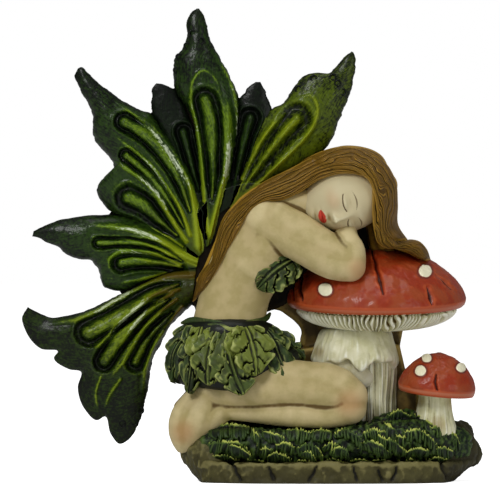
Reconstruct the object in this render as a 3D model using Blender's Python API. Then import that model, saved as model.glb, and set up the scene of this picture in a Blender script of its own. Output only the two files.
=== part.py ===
"""Fairy asleep on a toadstool: a flat-backed cast resin fridge magnet.

Two pieces: one resin casting, in high relief with a flat back, and one ferrite disc that is glued
into a round pocket in that back. The casting is worked up like clay: leaf blades, limbs, hair, skirt,
toadstools and ground are closed forms that overlap, and they are fused, thinned and cut flat.

Points of the figure are (x, z) or (x, z, depth) in millimetres on a drawing board: x to the right,
z up from the underside of the ground, depth out of the flat back towards the viewer.
"""
import math

import bmesh
import bpy
import numpy as np
from mathutils import Matrix, Vector

MM = 0.001

# Magnet and its pocket, mm
MAGNET_DIAMETER = 18.0
MAGNET_THICKNESS = 3.0
MAGNET_CHAMFER = 0.3
MAGNET_PROUD = 0.4
MAGNET_BOARD_X = 0.3
MAGNET_BOARD_Z = 37.1
GLUE_GAP = 0.3

# Casting process, mm
CLAY_VOXEL = 0.34
CLAY_SMOOTHING = 2
CASTING_TRIANGLES = 11500
FACE_WEIGHT = 0.6
BOARD_REACH = 60.0
BEHIND_BACK = 1.2

# Leaf wings, mm
BLADE_EDGE = 1.3
CELL_PILLOW = 0.75
CELL_TRENCH = 0.55
CELL_TRENCH_WIDTH = 0.9
RIB_HEIGHT = 0.8
RIB_WIDTH = 0.55
BLADE_ALONG = 90
BLADE_ACROSS = 34

# Large toadstool, mm
CAP_RADIUS = 14.4
CAP_HEIGHT = 8.4
CAP_CONE = 1.3
CAP_LIP = 0.9
GILL_DROP = 3.4
GILLS = 26
GILL_RELIEF = 0.035
CAP_X = 20.3
CAP_Z = 29.1
CAP_DEPTH = 3.0
CAP_LEAN = 5.0
STEM_RADIUS = 4.6
VEIL_RADIUS = 7.4
STALK_RADIUS = 2.7

# Small toadstool, mm
SMALL_CAP_RADIUS = 6.2
SMALL_CAP_HEIGHT = 5.3
SMALL_CAP_ROLL = 6.0
SMALL_CAP_X = 29.9
SMALL_CAP_Z = 15.3
SMALL_CAP_DEPTH = 9.5
SMALL_STEM_RADIUS = 2.7

# Spots on both caps, mm
SPOT_RADIUS = 1.05
SPOT_RISE = 0.22

# Head, mm
HEAD_X = 15.7
HEAD_Z = 45.6
HEAD_DEPTH = 9.4
HEAD_HALF_WIDTH = 5.3
HEAD_HALF_DEPTH = 6.2
HEAD_HALF_HEIGHT = 6.9
HEAD_ROLL = 13.0
HEAD_NOD = 28.0

# Ground, mm
GROUND_FRONT = 17.0
GROUND_RIM = 3.2
RIM_FOOT_LEFT = -7.2
RIM_FOOT_RIGHT = 31.0
CRACK_DEPTH = 0.9
CRACK_WIDTH = 0.45
MOSS_ROWS = 3
MOSS_TUFTS = 15

LEAF_THICKNESS = 1.1


# Curves and nets of points

def along_curve(points, count, knots=None):
    """Evenly spread points on a smooth curve through the given ones."""
    points = np.array(points, float)
    if knots is None:
        steps = np.linalg.norm(np.diff(points[:, :2], axis=0), axis=1)
        knots = np.concatenate([[0.0], np.cumsum(steps)])
    slope = np.gradient(points, knots, axis=0)
    where = np.linspace(0.0, knots[-1], count)
    left = np.clip(np.searchsorted(knots, where, side="right") - 1, 0, len(knots) - 2)
    span = (knots[left + 1] - knots[left])[:, None]
    t = (where - knots[left])[:, None] / span
    start = (2 * t**3 - 3 * t**2 + 1) * points[left] + (t**3 - 2 * t**2 + t) * span * slope[left]
    end = (3 * t**2 - 2 * t**3) * points[left + 1] + (t**3 - t**2) * span * slope[left + 1]
    return start + end


def net_of(rows, across, along):
    """A smooth net of board points through the cross rows of a blade, root first."""
    crossed = np.array([along_curve(row, across) for row in rows])
    steps = np.linalg.norm(np.diff(crossed, axis=0), axis=2).mean(axis=1)
    knots = np.concatenate([[0.0], np.cumsum(steps)])
    flat = along_curve(crossed.reshape(len(rows), -1), along, knots)
    return flat.reshape(along, across, 2)


def nearest_on(line, x, z):
    """Distance from board points to a line of (x, z, radius), and the radius there."""
    line = np.array(line, float)
    best = np.full(x.shape, 1e9)
    radius = np.zeros(x.shape)
    for a, b in zip(line[:-1], line[1:]):
        step = b - a
        t = np.clip(((x - a[0]) * step[0] + (z - a[1]) * step[1]) / (step[0] ** 2 + step[1] ** 2), 0, 1)
        distance = np.hypot(x - a[0] - t * step[0], z - a[1] - t * step[1])
        closer = distance < best
        best = np.where(closer, distance, best)
        radius = np.where(closer, a[2] + t * step[2], radius)
    return best, radius


def relief_of(x, z, cells, ribs):
    """Height of the carved pillows, the trenches round them and the raised ribs."""
    height = np.zeros(x.shape)
    for line in cells:
        distance, radius = nearest_on(line, x, z)
        outside = distance - radius
        height += CELL_PILLOW * np.sqrt(np.clip(1 - (distance / np.maximum(radius, 0.1)) ** 2, 0, 1))
        middle = (outside - CELL_TRENCH_WIDTH / 2) / (CELL_TRENCH_WIDTH * 0.55)
        height -= CELL_TRENCH * np.exp(-middle**2)
    for line in ribs:
        distance, scale = nearest_on(line, x, z)
        height += RIB_HEIGHT * scale * np.exp(-((distance / (RIB_WIDTH * np.maximum(scale, 0.3))) ** 2))
    return height


# Clay: closed forms that are poured into one mesh

def to_space(x, z, depth):
    """A board point in the part's frame, in metres."""
    return Vector(((x - MAGNET_BOARD_X) * MM, (MAGNET_PROUD * -1 - depth) * MM, (z - MAGNET_BOARD_Z) * MM))


def pour(clay, form):
    """Adds a finished form to the clay, with its faces pointing out."""
    bmesh.ops.remove_doubles(form, verts=form.verts[:], dist=0.01 * MM)
    bmesh.ops.recalc_face_normals(form, faces=form.faces[:])
    mesh = bpy.data.meshes.new("form")
    form.to_mesh(mesh)
    form.free()
    clay.from_mesh(mesh)
    bpy.data.meshes.remove(mesh)


def add_blade(clay, rows, crown, cells=(), ribs=(), edge=BLADE_EDGE):
    """A leaf blade: a crowned relief over a flat back, thin at its margins."""
    net = net_of(rows, BLADE_ACROSS, BLADE_ALONG)
    across = np.linspace(-1, 1, BLADE_ACROSS)[None, :]
    along = np.linspace(0, 1, BLADE_ALONG)[:, None]
    swell = np.clip(1 - across**2, 0, 1) ** 0.6 * np.clip((1 - along) * 3.5, 0, 1) ** 0.7
    depth = edge + (crown - edge) * swell + relief_of(net[..., 0], net[..., 1], cells, ribs) * swell**0.5
    form = bmesh.new()
    bmesh.ops.create_grid(form, x_segments=BLADE_ACROSS - 1, y_segments=BLADE_ALONG - 1, size=1)
    for vertex in form.verts:
        i = round((vertex.co.y + 1) / 2 * (BLADE_ALONG - 1))
        j = round((vertex.co.x + 1) / 2 * (BLADE_ACROSS - 1))
        vertex.co = to_space(net[i, j, 0], net[i, j, 1], depth[i, j])
    grown = bmesh.ops.extrude_face_region(form, geom=form.faces[:])["geom"]
    for vertex in (g for g in grown if isinstance(g, bmesh.types.BMVert)):
        vertex.co.y = (BEHIND_BACK - MAGNET_PROUD) * MM
    pour(clay, form)


def add_slab(clay, outline, depth, round_steps=0):
    """A flat form behind the figure, from behind the back plane to a depth."""
    form = bmesh.new()
    if round_steps:
        outline = along_curve(list(outline) + [outline[0]], round_steps)[:-1]
    ring = [form.verts.new(to_space(x, z, -BEHIND_BACK)) for x, z in outline]
    face = form.faces.new(ring)
    grown = bmesh.ops.extrude_face_region(form, geom=[face])["geom"]
    shift = Vector((0, -(depth + BEHIND_BACK) * MM, 0))
    bmesh.ops.translate(form, verts=[g for g in grown if isinstance(g, bmesh.types.BMVert)], vec=shift)
    pour(clay, form)


def add_limb(clay, line, steps=0):
    """A rounded limb along (x, z, depth, radius): the hulls of neighbouring balls."""
    if steps:
        line = along_curve(line, steps)
    for a, b in zip(line[:-1], line[1:]):
        form = bmesh.new()
        for x, z, depth, radius in (a, b):
            place = Matrix.Translation(to_space(x, z, depth))
            bmesh.ops.create_icosphere(form, subdivisions=3, radius=radius * MM, matrix=place)
        bmesh.ops.delete(form, geom=form.edges[:], context="EDGES_FACES")
        hull = bmesh.ops.convex_hull(form, input=form.verts[:])
        inner = [g for g in hull["geom_interior"] if isinstance(g, bmesh.types.BMVert)]
        bmesh.ops.delete(form, geom=inner, context="VERTS")
        pour(clay, form)


def add_strand(clay, line, sides=8):
    """A thin rope through (x, z, depth, radius) points."""
    places = [to_space(x, z, depth) for x, z, depth, _ in line]
    form = bmesh.new()
    rings = []
    for i, place in enumerate(places):
        ahead = (places[min(i + 1, len(places) - 1)] - places[max(i - 1, 0)]).normalized()
        side = ahead.cross(Vector((0, -1, 0))).normalized()
        over = side.cross(ahead)
        turns = [math.tau * k / sides for k in range(sides)]
        rings.append([form.verts.new(place + (side * math.cos(a) + over * math.sin(a)) * line[i][3] * MM)
                      for a in turns])
    for ring, after in zip(rings[:-1], rings[1:]):
        for k in range(sides):
            form.faces.new((ring[k], ring[k - 1], after[k - 1], after[k]))
    form.faces.new(rings[0])
    form.faces.new(rings[-1])
    pour(clay, form)


def add_tress(clay, left, right, strands, radius, swell):
    """Combed strands between two edges of (x, z, depth) points, swelling out between them."""
    left, right = np.array(left, float), np.array(right, float)
    for k in range(strands):
        t = k / (strands - 1)
        line = left * (1 - t) + right * t
        line[:, 2] += swell * math.sin(math.pi * t)
        line = along_curve(line, 3 * len(line))
        taper = np.interp(np.linspace(0, 1, len(line)), (0, 0.1, 0.75, 1), (0.7, 1, 0.9, 0.35))
        add_strand(clay, [(*point, radius * thin) for point, thin in zip(line, taper)])


def add_turned(clay, profile, x, z, depth, lean=0.0, roll=0.0, steps=56, flutes=0, flute=0.0):
    """A form turned about an upright axis from (radius, height) points, top to bottom."""
    form = bmesh.new()
    line = [form.verts.new((radius * MM, 0, height * MM)) for radius, height in profile]
    edges = [form.edges.new(pair) for pair in zip(line[:-1], line[1:])]
    bmesh.ops.spin(form, geom=line + edges, cent=(0, 0, 0), axis=(0, 0, 1), dvec=(0, 0, 0),
                   angle=math.tau, steps=steps, use_merge=True, use_duplicate=False)
    for vertex in form.verts if flutes else ():
        if vertex.co.z < -1.5 * CAP_LIP * MM:
            groove = 1 + flute * math.cos(flutes * math.atan2(vertex.co.y, vertex.co.x))
            vertex.co.x *= groove
            vertex.co.y *= groove
    turn = Matrix.Rotation(math.radians(lean), 4, "X") @ Matrix.Rotation(math.radians(roll), 4, "Y")
    bmesh.ops.transform(form, matrix=Matrix.Translation(to_space(x, z, depth)) @ turn, verts=form.verts[:])
    pour(clay, form)


# Wings

def add_wings(clay):
    # Lobe behind the upper left and top blades
    add_blade(clay, [[(-7.5, 38.7), (-6.7, 38.7)], [(-9.6, 45.9), (-7, 45.1)], [(-12.8, 52.8),
                                                                                (-7.8, 51.5)],
                     [(-14.7, 57), (-9.1, 56.3)], [(-15.8, 59.2), (-10.2, 59.2)], [(-15.8, 61.4),
                                                                                   (-11.4, 61.6)],
                     [(-15.7, 63), (-12.5, 63)], [(-15.2, 63.8), (-14.1, 63.7)]],
              2.6, cells=[[(-8.3, 46.7, 0.3), (-9.6, 51.5, 0.6), (-10.7, 56, 0.8)]])
    # Dark lobe between the top and right blades
    add_blade(clay, [[(-5.1, 42.7), (-2.9, 44.3)], [(-3.2, 50.7), (0, 50.7)], [(-2.2, 55.5), (1.9, 55)],
                     [(-1.8, 58.2), (3.4, 57.9)], [(-1.8, 61), (3.4, 60)], [(-1, 62.2), (2.7, 61.6)],
                     [(0, 63.4), (2.2, 63)], [(1, 64), (1.6, 64)]],
              2.4, cells=[[(-2.9, 46.7, 0.4), (-1.6, 53.1, 0.8), (0, 58.7, 0.9)]])
    # Right blade, behind the head
    add_blade(clay, [[(-3.8, 42.2), (-2.6, 42.9)], [(-2.7, 45.9), (0.3, 45.8)], [(-1.1, 49.9),
                                                                                 (4.5, 48.6)],
                     [(0.3, 53.9), (8.6, 50.7)], [(1.8, 57.9), (11.8, 53)], [(3.7, 59.8), (13.3, 55)],
                     [(5.3, 60.5), (14.1, 57.1)], [(6.4, 62.1), (14.9, 59.2)], [(7.5, 63.8),
                                                                                (15.7, 61.1)],
                     [(9.1, 65.2), (16.3, 63)], [(10.9, 65.5), (16.6, 64.5)], [(12.6, 65.4),
                                                                               (16.9, 65.8)],
                     [(14.2, 66.9), (17, 66.9)], [(15.5, 68.3), (16.9, 68)], [(16.3, 68.9),
                                                                              (16.6, 68.8)]],
              3.6, cells=[[(0, 48.6, 0.3), (4, 53.4, 0.9), (7.5, 57.9, 1.1)]],
              ribs=[[(-2.9, 44.3, 0.6), (1.9, 47.4, 0.7), (8, 51.5, 1), (10.6, 56.3, 1),
                     (10.2, 60.8, 0.7), (8.5, 61.6, 0.5)],
                    [(-1.6, 46.7, 0.6), (1.9, 54.7, 0.8), (6.4, 60.3, 0.7)]])
    # Middle left blade
    add_blade(clay, [[(-8.2, 36), (-8.6, 34.1)], [(-10.4, 37.8), (-11.5, 33.6)], [(-12.8, 39.5),
                                                                                  (-14.7, 32.8)],
                     [(-15.7, 41.1), (-17.9, 31.5)], [(-18.4, 42.1), (-20.6, 30.4)], [(-20.5, 42.6),
                                                                                      (-22.6, 30.7)],
                     [(-22.4, 42.7), (-23.8, 31.5)], [(-24, 42.6), (-24.3, 33.6)], [(-25.4, 42.6),
                                                                                    (-25.4, 35.2)],
                     [(-27.2, 42.4), (-27.4, 35.5)], [(-29, 42.1), (-29.4, 36.2)], [(-30.7, 41.8),
                                                                                    (-30.9, 37.5)],
                     [(-32.5, 41.1), (-32.6, 38.2)], [(-33.9, 40.5), (-33.9, 38.9)], [(-34.8, 40),
                                                                                      (-35, 39.2)]],
              3.8, cells=[[(-13.1, 36.2, 0.3), (-17.6, 37.3, 0.5), (-24.5, 37.6, 0.6)],
                          [(-11.8, 34.4, 0.3), (-16.8, 34.6, 0.8), (-20.5, 34.4, 1.0)]],
              ribs=[[(-8.6, 35, 0.9), (-13.6, 38.2, 1.1), (-18.4, 40.3, 1.1), (-24.8, 40.6, 0.8),
                     (-30.1, 40.2, 0.4)],
                    [(-10.2, 34.6, 0.5), (-16, 36.2, 0.7), (-20.5, 36.5, 0.8), (-23.2, 35.8, 0.6),
                     (-23.8, 34.6, 0.4)]])
    # Upper left blade
    add_blade(clay, [[(-7.4, 36.8), (-8.5, 35.7)], [(-7.5, 40.6), (-11.2, 37.3)], [(-8, 44.8),
                                                                                   (-13.9, 39)],
                     [(-9, 48.3), (-16.8, 40.8)], [(-10.1, 51), (-19.7, 42.1)], [(-11.2, 52.8),
                                                                                 (-22.2, 43)],
                     [(-12.3, 54.4), (-24.2, 45.3)], [(-13.3, 55.5), (-24.6, 47)], [(-14.4, 56.8),
                                                                                    (-23.4, 48.8)],
                     [(-15.8, 58.9), (-21.8, 50.2)], [(-17.4, 59.4), (-22.7, 52)], [(-19.2, 60.3),
                                                                                    (-24.5, 53.9)],
                     [(-21.1, 61.4), (-25.3, 56)], [(-22.7, 62.6), (-25.3, 58.4)], [(-24.3, 63.8),
                                                                                    (-26.1, 60.6)],
                     [(-25.9, 65.3), (-27.2, 62.4)], [(-27.2, 66.4), (-27.8, 64)], [(-27.7, 66.1),
                                                                                    (-28.2, 65.1)]],
              4.3, cells=[[(-10.9, 44.3, 0.3), (-14.4, 51.5, 0.8), (-19.5, 57, 0.8)],
                          [(-11.5, 41.6, 0.2), (-15.7, 48, 0.4), (-20, 52.6, 0.4)],
                          [(-13.1, 40.6, 0.3), (-16.8, 44.2, 0.9), (-19.7, 45.8, 0.9)]],
              ribs=[[(-7.8, 38.7, 1), (-9, 44.3, 1.2), (-11.5, 50.6, 1.3), (-16, 57, 1),
                     (-21.1, 60.6, 0.4)],
                    [(-11.2, 40, 0.6), (-14.7, 45.9, 0.7), (-19.2, 51.5, 0.5)],
                    [(-10.2, 38.7, 0.6), (-14.4, 44.2, 0.8), (-18.4, 47.5, 0.7), (-21.6, 47, 0.5)]])
    # Top blade
    add_blade(clay, [[(-7.2, 37.4), (-6.2, 38.1)], [(-7.5, 41.9), (-4.5, 44.3)], [(-8, 46.7),
                                                                                  (-3.2, 49.1)],
                     [(-8.6, 53.1), (-2.4, 53.9)], [(-9.1, 57.6), (-1.9, 58.2)], [(-10.2, 59.8),
                                                                                  (-1.8, 61.1)],
                     [(-12, 62.7), (-2.6, 63.5)], [(-12.3, 65.4), (-3.7, 65.9)], [(-12, 67.8),
                                                                                  (-5, 68.2)],
                     [(-10.6, 69.8), (-5.9, 69.8)], [(-10.2, 71.4), (-6.6, 71.4)], [(-10.2, 73.1),
                                                                                    (-6.9, 73.1)],
                     [(-9.6, 74.9), (-7.5, 74.9)], [(-8.6, 75.8), (-8.2, 75.8)]],
              4.4, cells=[[(-6.1, 45.9, 0.2), (-6.2, 54.7, 1.0), (-7, 60.8, 0.9)],
                          [(-4.8, 48.3, 0.2), (-3.7, 55.5, 0.6), (-3.7, 60.8, 0.6)]],
              ribs=[[(-6.1, 39.5, 1), (-3.8, 46.7, 1), (-2.2, 53.9, 1), (-2.4, 61.4, 1),
                     (-5, 67.2, 0.7)],
                    [(-7.2, 42.7, 0.8), (-7.8, 53.1, 1), (-9.3, 61.1, 0.7), (-9.3, 64, 0.6),
                     (-7.5, 65.9, 0.5), (-5.8, 65, 0.5), (-4.6, 61.1, 0.6), (-4.5, 53.1, 0.6),
                     (-5.8, 46.7, 0.6)]])
    # Lower blade, a fan with three tips
    add_blade(clay, [[(-8.6, 34.2), (-9, 31.2), (-9.3, 28.2)], [(-11.5, 33.8), (-11.2, 30.2),
                                                                (-11, 26.6)],
                     [(-14.7, 32.8), (-13.9, 29.1), (-13, 24.5)], [(-18.4, 31), (-16.6, 27.5),
                                                                   (-14.2, 22.2)],
                     [(-22.1, 29.3), (-19.5, 25.6), (-15.4, 20)], [(-25.9, 27.4), (-22.7, 23.5),
                                                                   (-16, 17.4)],
                     [(-30.1, 26.3), (-26.4, 21.9), (-22.4, 17.6), (-16.5, 14.4)],
                     [(-33, 26.4), (-33.9, 23.7), (-30.7, 21.9), (-29.1, 20), (-26.2, 17.9),
                      (-25.6, 14.4), (-23.2, 11.5),
                      (-20.5, 9.8), (-17.3, 10.9)],
                     [(-35.8, 27.8), (-36.6, 26.2), (-36, 23.8), (-33.6, 21.1), (-30.9, 20.6),
                      (-31.5, 19.8), (-29.1, 17.8),
                      (-27.2, 17.4), (-27.7, 15), (-26.6, 11.4), (-24.5, 9.6), (-23.4, 10.2),
                      (-22.4, 7.4), (-21, 5.8),
                      (-19, 7), (-17.9, 9.1)]],
              4.2, cells=[[(-14.4, 30.7, 0.3), (-21.1, 27.2, 1.0), (-26.2, 23.8, 1.1)],
                          [(-14.4, 28.8, 0.3), (-20, 23.5, 0.9), (-23.8, 19.5, 1.0)],
                          [(-13.1, 27.2, 0.3), (-16.8, 21.4, 0.6), (-18.6, 17.9, 0.7)]],
              ribs=[[(-9.3, 33.4, 0.9), (-16, 32, 1.1), (-22.1, 28.6, 1.1), (-29.8, 25.1, 0.6)],
                    [(-10.9, 31.8, 0.6), (-17.3, 28, 1), (-22.7, 23.2, 0.9), (-25.3, 21.1, 0.5)],
                    [(-11.8, 29.8, 0.6), (-17, 25.6, 0.8), (-20.8, 20.3, 0.8), (-23, 16.6, 0.4)]])


# Body

def add_body(clay):
    # Back of the figure from hip to shoulder
    add_limb(clay, [(-5.1, 19.8, 7.5, 7.2), (-3.4, 26.2, 7.2, 5.5), (-2.1, 31, 7.4, 5.5),
                    (0.6, 36.5, 7.8, 5.8), (1.9, 41, 8.6, 4.3)])
    # Bosom under the leaf
    add_limb(clay, [(3.5, 35.2, 8.5, 3.2), (4.2, 33, 9.0, 2.9)])
    # Near arm: shoulder, elbow, folded forearm and hand
    add_limb(clay, [(2.2, 41.6, 10.8, 3.7), (5.6, 39.7, 12.0, 3.2), (8.8, 37.8, 13.0, 3.0),
                    (13.8, 35, 14.2, 2.7), (16, 34.6, 14.4, 2.5)])
    add_limb(clay, [(16, 34.6, 14.4, 2.5), (16.2, 37.1, 13.8, 2.2), (15.4, 39.4, 12.8, 1.8),
                    (13.4, 40, 11.8, 1.6)])
    # Neck
    add_limb(clay, [(2.9, 43, 8.4, 3.0), (8, 44, 9.0, 2.7), (11.5, 44.6, 9.4, 2.9)])
    # Thigh, knee and lower leg
    add_limb(clay, [(-2.2, 16.3, 9.5, 4.4), (8, 16.2, 11.6, 3.3), (14.1, 15.4, 12.4, 3.1),
                    (16, 13.8, 12.6, 2.9)])
    add_limb(clay, [(16, 12, 12.6, 2.7), (13.6, 11, 12.6, 2.2), (7.2, 11, 12.4, 2.2),
                    (0, 11.4, 11.4, 1.8), (-5.1, 11.7, 10.6, 1.5), (-8.6, 12.5, 9.8, 1.9)])
    # Foot, heel to toes
    add_limb(clay, [(-9.1, 12.8, 9.4, 2.0), (-10.7, 9.9, 9.4, 2.3), (-11, 7.7, 9.4, 2.0),
                    (-10.9, 5.6, 9.0, 1.1)])


def head_axes():
    """Up (chin to crown), face (out of the face) and side axes of the head, in the part's frame."""
    roll, nod = math.radians(HEAD_ROLL), math.radians(HEAD_NOD)
    up = Vector((math.cos(roll), 0, math.sin(roll)))
    face = Vector((0, -math.cos(nod), -math.sin(nod)))
    face = (face - up * face.dot(up)).normalized()
    return up, face, face.cross(up)


def face_height(side, up):
    """Rise of the features out of the plain skull, mm, at (side, up) mm from the head's middle."""
    def bump(s, u, width, height):
        return np.exp(-((side - s) / width) ** 2 - ((up - u) / height) ** 2)
    rise = 0.35 * bump(0, 1.6, 3.2, 1.0)
    bridge = np.clip((1.0 - up) / 3.6, 0, 1) * (up > -2.7)
    rise += 1.5 * np.exp(-(side / 0.55) ** 2) * bridge + 0.5 * bump(0, -2.3, 0.95, 0.5)
    for s in (-1, 1):
        rise += -0.55 * bump(1.9 * s, 0.1, 1.3, 1.0) + 0.4 * bump(1.95 * s, -0.15, 1.0, 0.55)
        rise += 0.35 * bump(2.6 * s, -2.0, 1.4, 1.4)
    rise += 0.5 * bump(0, -3.85, 1.1, 0.35) + 0.5 * bump(0, -4.6, 0.9, 0.35) + 0.4 * bump(0, -5.9, 1.2, 0.8)
    return rise


def add_head(clay):
    """The head: an egg with a narrower jaw, and the features raised on its face side."""
    up, face, side = head_axes()
    form = bmesh.new()
    bmesh.ops.create_icosphere(form, subdivisions=5, radius=1)
    middle = to_space(HEAD_X, HEAD_Z, HEAD_DEPTH)
    for vertex in form.verts:
        s, f, u = vertex.co
        jaw = 1 - 0.34 * max(0.0, -u) ** 1.6
        s_mm, u_mm = s * HEAD_HALF_WIDTH * jaw, u * HEAD_HALF_HEIGHT
        f_mm = f * HEAD_HALF_DEPTH * (1 - 0.22 * max(0.0, -u) ** 2)
        if f > 0:
            f_mm += float(face_height(s_mm, u_mm)) * min(1.0, f * 2.5)
        vertex.co = middle + (side * s_mm + face * f_mm + up * u_mm) * MM
    pour(clay, form)


def add_hair(clay):
    """Hair: a full shape over the skull and down both sides, combed into strands."""
    masses = [
        [(21.8, 47, 9, 2.6), (19.2, 50.4, 9, 3.2), (15.2, 51.4, 9, 3.2), (10.9, 49.9, 8.5, 2.9),
         (6.4, 47.4, 8, 2.3), (1.9, 45.8, 8, 2.0), (-1.6, 43.2, 8.5, 1.8), (-3.8, 39, 8.5, 1.7),
         (-5.6, 35.5, 8, 1.4), (-7.7, 32, 7, 1.0)],
        [(20.5, 48.6, 12, 2.0), (16.8, 50.4, 12, 2.0), (12.8, 49.9, 11.5, 1.6), (9, 47.7, 10.5, 1.2)],
        [(21.6, 48.6, 9.5, 3.0), (21.9, 45.1, 10, 2.7), (21.9, 41.6, 10, 2.5), (22.7, 39, 9.5, 2.0),
         (25.6, 37.8, 8, 1.6), (27.8, 36.5, 6.5, 1.2)],
        [(17.9, 50.2, 5, 3.2), (21.6, 47.4, 5, 3.2), (22.2, 41.9, 5, 3.0), (21.8, 38.1, 5, 2.6)],
    ]
    for mass in masses:
        add_limb(clay, mass, steps=2 * len(mass))
    # Over the skull from the crown, then down the back
    add_tress(clay, [(23, 48, 7), (21.1, 52.2, 7), (15.5, 53.8, 6.6), (10.1, 52, 6.4), (6.4, 50.1, 6),
                     (1.9, 47.8, 6), (-1.6, 45.3, 6), (-4.2, 42.4, 6), (-5.6, 38.6, 6),
                     (-6.7, 35.2, 6), (-8.2, 33, 5.6), (-8.8, 30.7, 5), (-9.3, 28.6, 4.6)],
              [(20.2, 47.7, 13.0), (18.4, 48.8, 13.6), (15.2, 49.6, 13.8), (11.4, 48.5, 12.8),
               (7.7, 46.4, 11.2), (4.8, 45, 10.8), (1.8, 44.5, 11.8), (-0.6, 42.4, 12.6),
               (-2.2, 39.4, 12.4), (-3.7, 36.8, 12.0), (-5.6, 33.4, 11.4), (-7, 31, 9.6),
               (-8.6, 29.1, 6.5)], 6, 1.05, 1.2)
    # Down the right of the face and over the cap
    add_tress(clay, [(21.3, 51.2, 7.5), (23, 48.6, 7.5), (23.5, 45.9, 7.6), (23.5, 42.7, 8),
                     (23.7, 40.3, 8), (24.5, 38.6, 7.6), (25.9, 38.7, 7.2), (27.2, 38.4, 6.8),
                     (28.3, 37.3, 6.4), (29, 35.5, 6)],
              [(19.7, 48.3, 13.2), (19.7, 45.4, 13.8), (19.7, 42.9, 13.8), (19.8, 40.3, 13.4),
               (20.6, 38.2, 12.6), (21.9, 37.9, 11.8), (23.4, 37.6, 10.8), (25, 37, 9.6),
               (26.4, 36.3, 8.6), (28, 35.4, 7.4)], 5, 1.0, 1.0)


def add_leaf(clay, base, tip, half_width, lift):
    """A lobed skirt leaf from base to tip, (x, z, depth), cupped towards the viewer."""
    start, end = to_space(*base), to_space(*tip)
    along = end - start
    facing = Vector((lift, -1, 0.15)).normalized()
    across = along.cross(facing).normalized()
    normal = across.cross(along).normalized()
    rows, columns = 15, 9
    form = bmesh.new()
    bmesh.ops.create_grid(form, x_segments=columns - 1, y_segments=rows - 1, size=1)
    for vertex in form.verts:
        u, v = (vertex.co.y + 1) / 2, vertex.co.x
        lobes = 0.82 + 0.18 * math.cos(u * 3.5 * math.tau)
        reach = half_width * MM * (math.sin(math.pi * min(1.0, 0.12 + 0.88 * u)) ** 0.7 * lobes + 0.05)
        bow = (0.9 * math.sin(math.pi * u) + 0.5 * (1 - abs(v)) - 0.45 * math.exp(-(v / 0.12) ** 2)) * MM
        vertex.co = start + along * u + across * (v * reach) + normal * bow
    grown = bmesh.ops.extrude_face_region(form, geom=form.faces[:])["geom"]
    bmesh.ops.translate(form, verts=[g for g in grown if isinstance(g, bmesh.types.BMVert)],
                        vec=-normal * LEAF_THICKNESS * MM)
    pour(clay, form)


def add_leaves(clay):
    """The skirt's leaves from left to right, its waistband, and the leaf on the bosom."""
    skirt = [
        ((-9.1, 24.6, 8.0), (-12.2, 16.2, 9.0), 2.2, -0.8), ((-8.2, 24.6, 10.5),
                                                             (-9.6, 14.6, 13.0), 2.6, -0.5),
        ((-6.1, 24.6, 12.0), (-7, 14.6, 15.2), 3.0, -0.2), ((1.9, 24.6, 10.5),
                                                            (7.5, 17.6, 13.0), 2.6, 0.5),
        ((0.3, 24.6, 11.5), (5.1, 16.2, 15.2), 3.0, 0.3), ((-1.9, 24.6, 12.6),
                                                           (-0.3, 14.1, 16.0), 3.6, 0.1),
        ((-4, 24.6, 12.8), (-3.8, 15, 15.8), 3.0, 0.0), ((2.1, 23.7, 7.0), (8.6, 19.7, 8.5), 1.8, 0.6),
    ]
    for base, tip, half_width, lift in skirt:
        add_leaf(clay, base, tip, half_width, lift)
    add_limb(clay, [(-10.1, 25.1, 7.0, 0.9), (-7.2, 25.3, 11.6, 0.8), (-2.9, 25.3, 13.0, 0.8),
                    (1.3, 25.4, 10.6, 0.8), (2.9, 26.2, 7.0, 0.9)])
    add_leaf(clay, (6.7, 35.2, 10.8), (1, 31, 12.6), 3.4, 0.2)


# Toadstools and ground

def cap_profile(radius, height, lip, drop, stem):
    """(radius, height) points of a cap from its top, round its lip and in under its gills."""
    turns = np.linspace(0, math.pi / 2, 12)
    dome = [(radius * math.sin(a), height * abs(math.cos(a)) ** CAP_CONE) for a in turns]
    under = [(radius * 0.985, -lip), (radius * 0.94, -lip * 1.25), (radius * 0.88, -lip * 0.8)]
    bowl = [(radius * 0.88 * math.cos(a) + stem * (1 - math.cos(a)), -lip * 0.8 - drop * math.sin(a))
            for a in np.linspace(0.2, math.pi / 2, 8)]
    return dome + under + bowl + [(0, -lip * 0.8 - drop)]


def add_spot(clay, cap, aside, up, radius):
    """A low round spot on the front of a cap's dome, (x, z, depth, radius, height)."""
    cap_x, cap_z, cap_depth, cap_radius, cap_height = cap
    out = math.sqrt(max(0.0, 1 - aside**2 - up**2))
    x, z = cap_x + aside * cap_radius, cap_z + up * cap_height
    depth = cap_depth + cap_radius * out + (z - cap_z) * math.sin(math.radians(CAP_LEAN))
    normal = Vector((aside / cap_radius, -out / cap_radius, up / cap_height))
    form = bmesh.new()
    bmesh.ops.create_icosphere(form, subdivisions=2, radius=MM)
    place = Matrix.Translation(to_space(x, z, depth)) @ normal.to_track_quat("Z", "Y").to_matrix().to_4x4()
    bmesh.ops.transform(form, verts=form.verts[:],
                        matrix=place @ Matrix.Diagonal((radius, radius, SPOT_RISE * 2, 1)))
    pour(clay, form)


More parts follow.
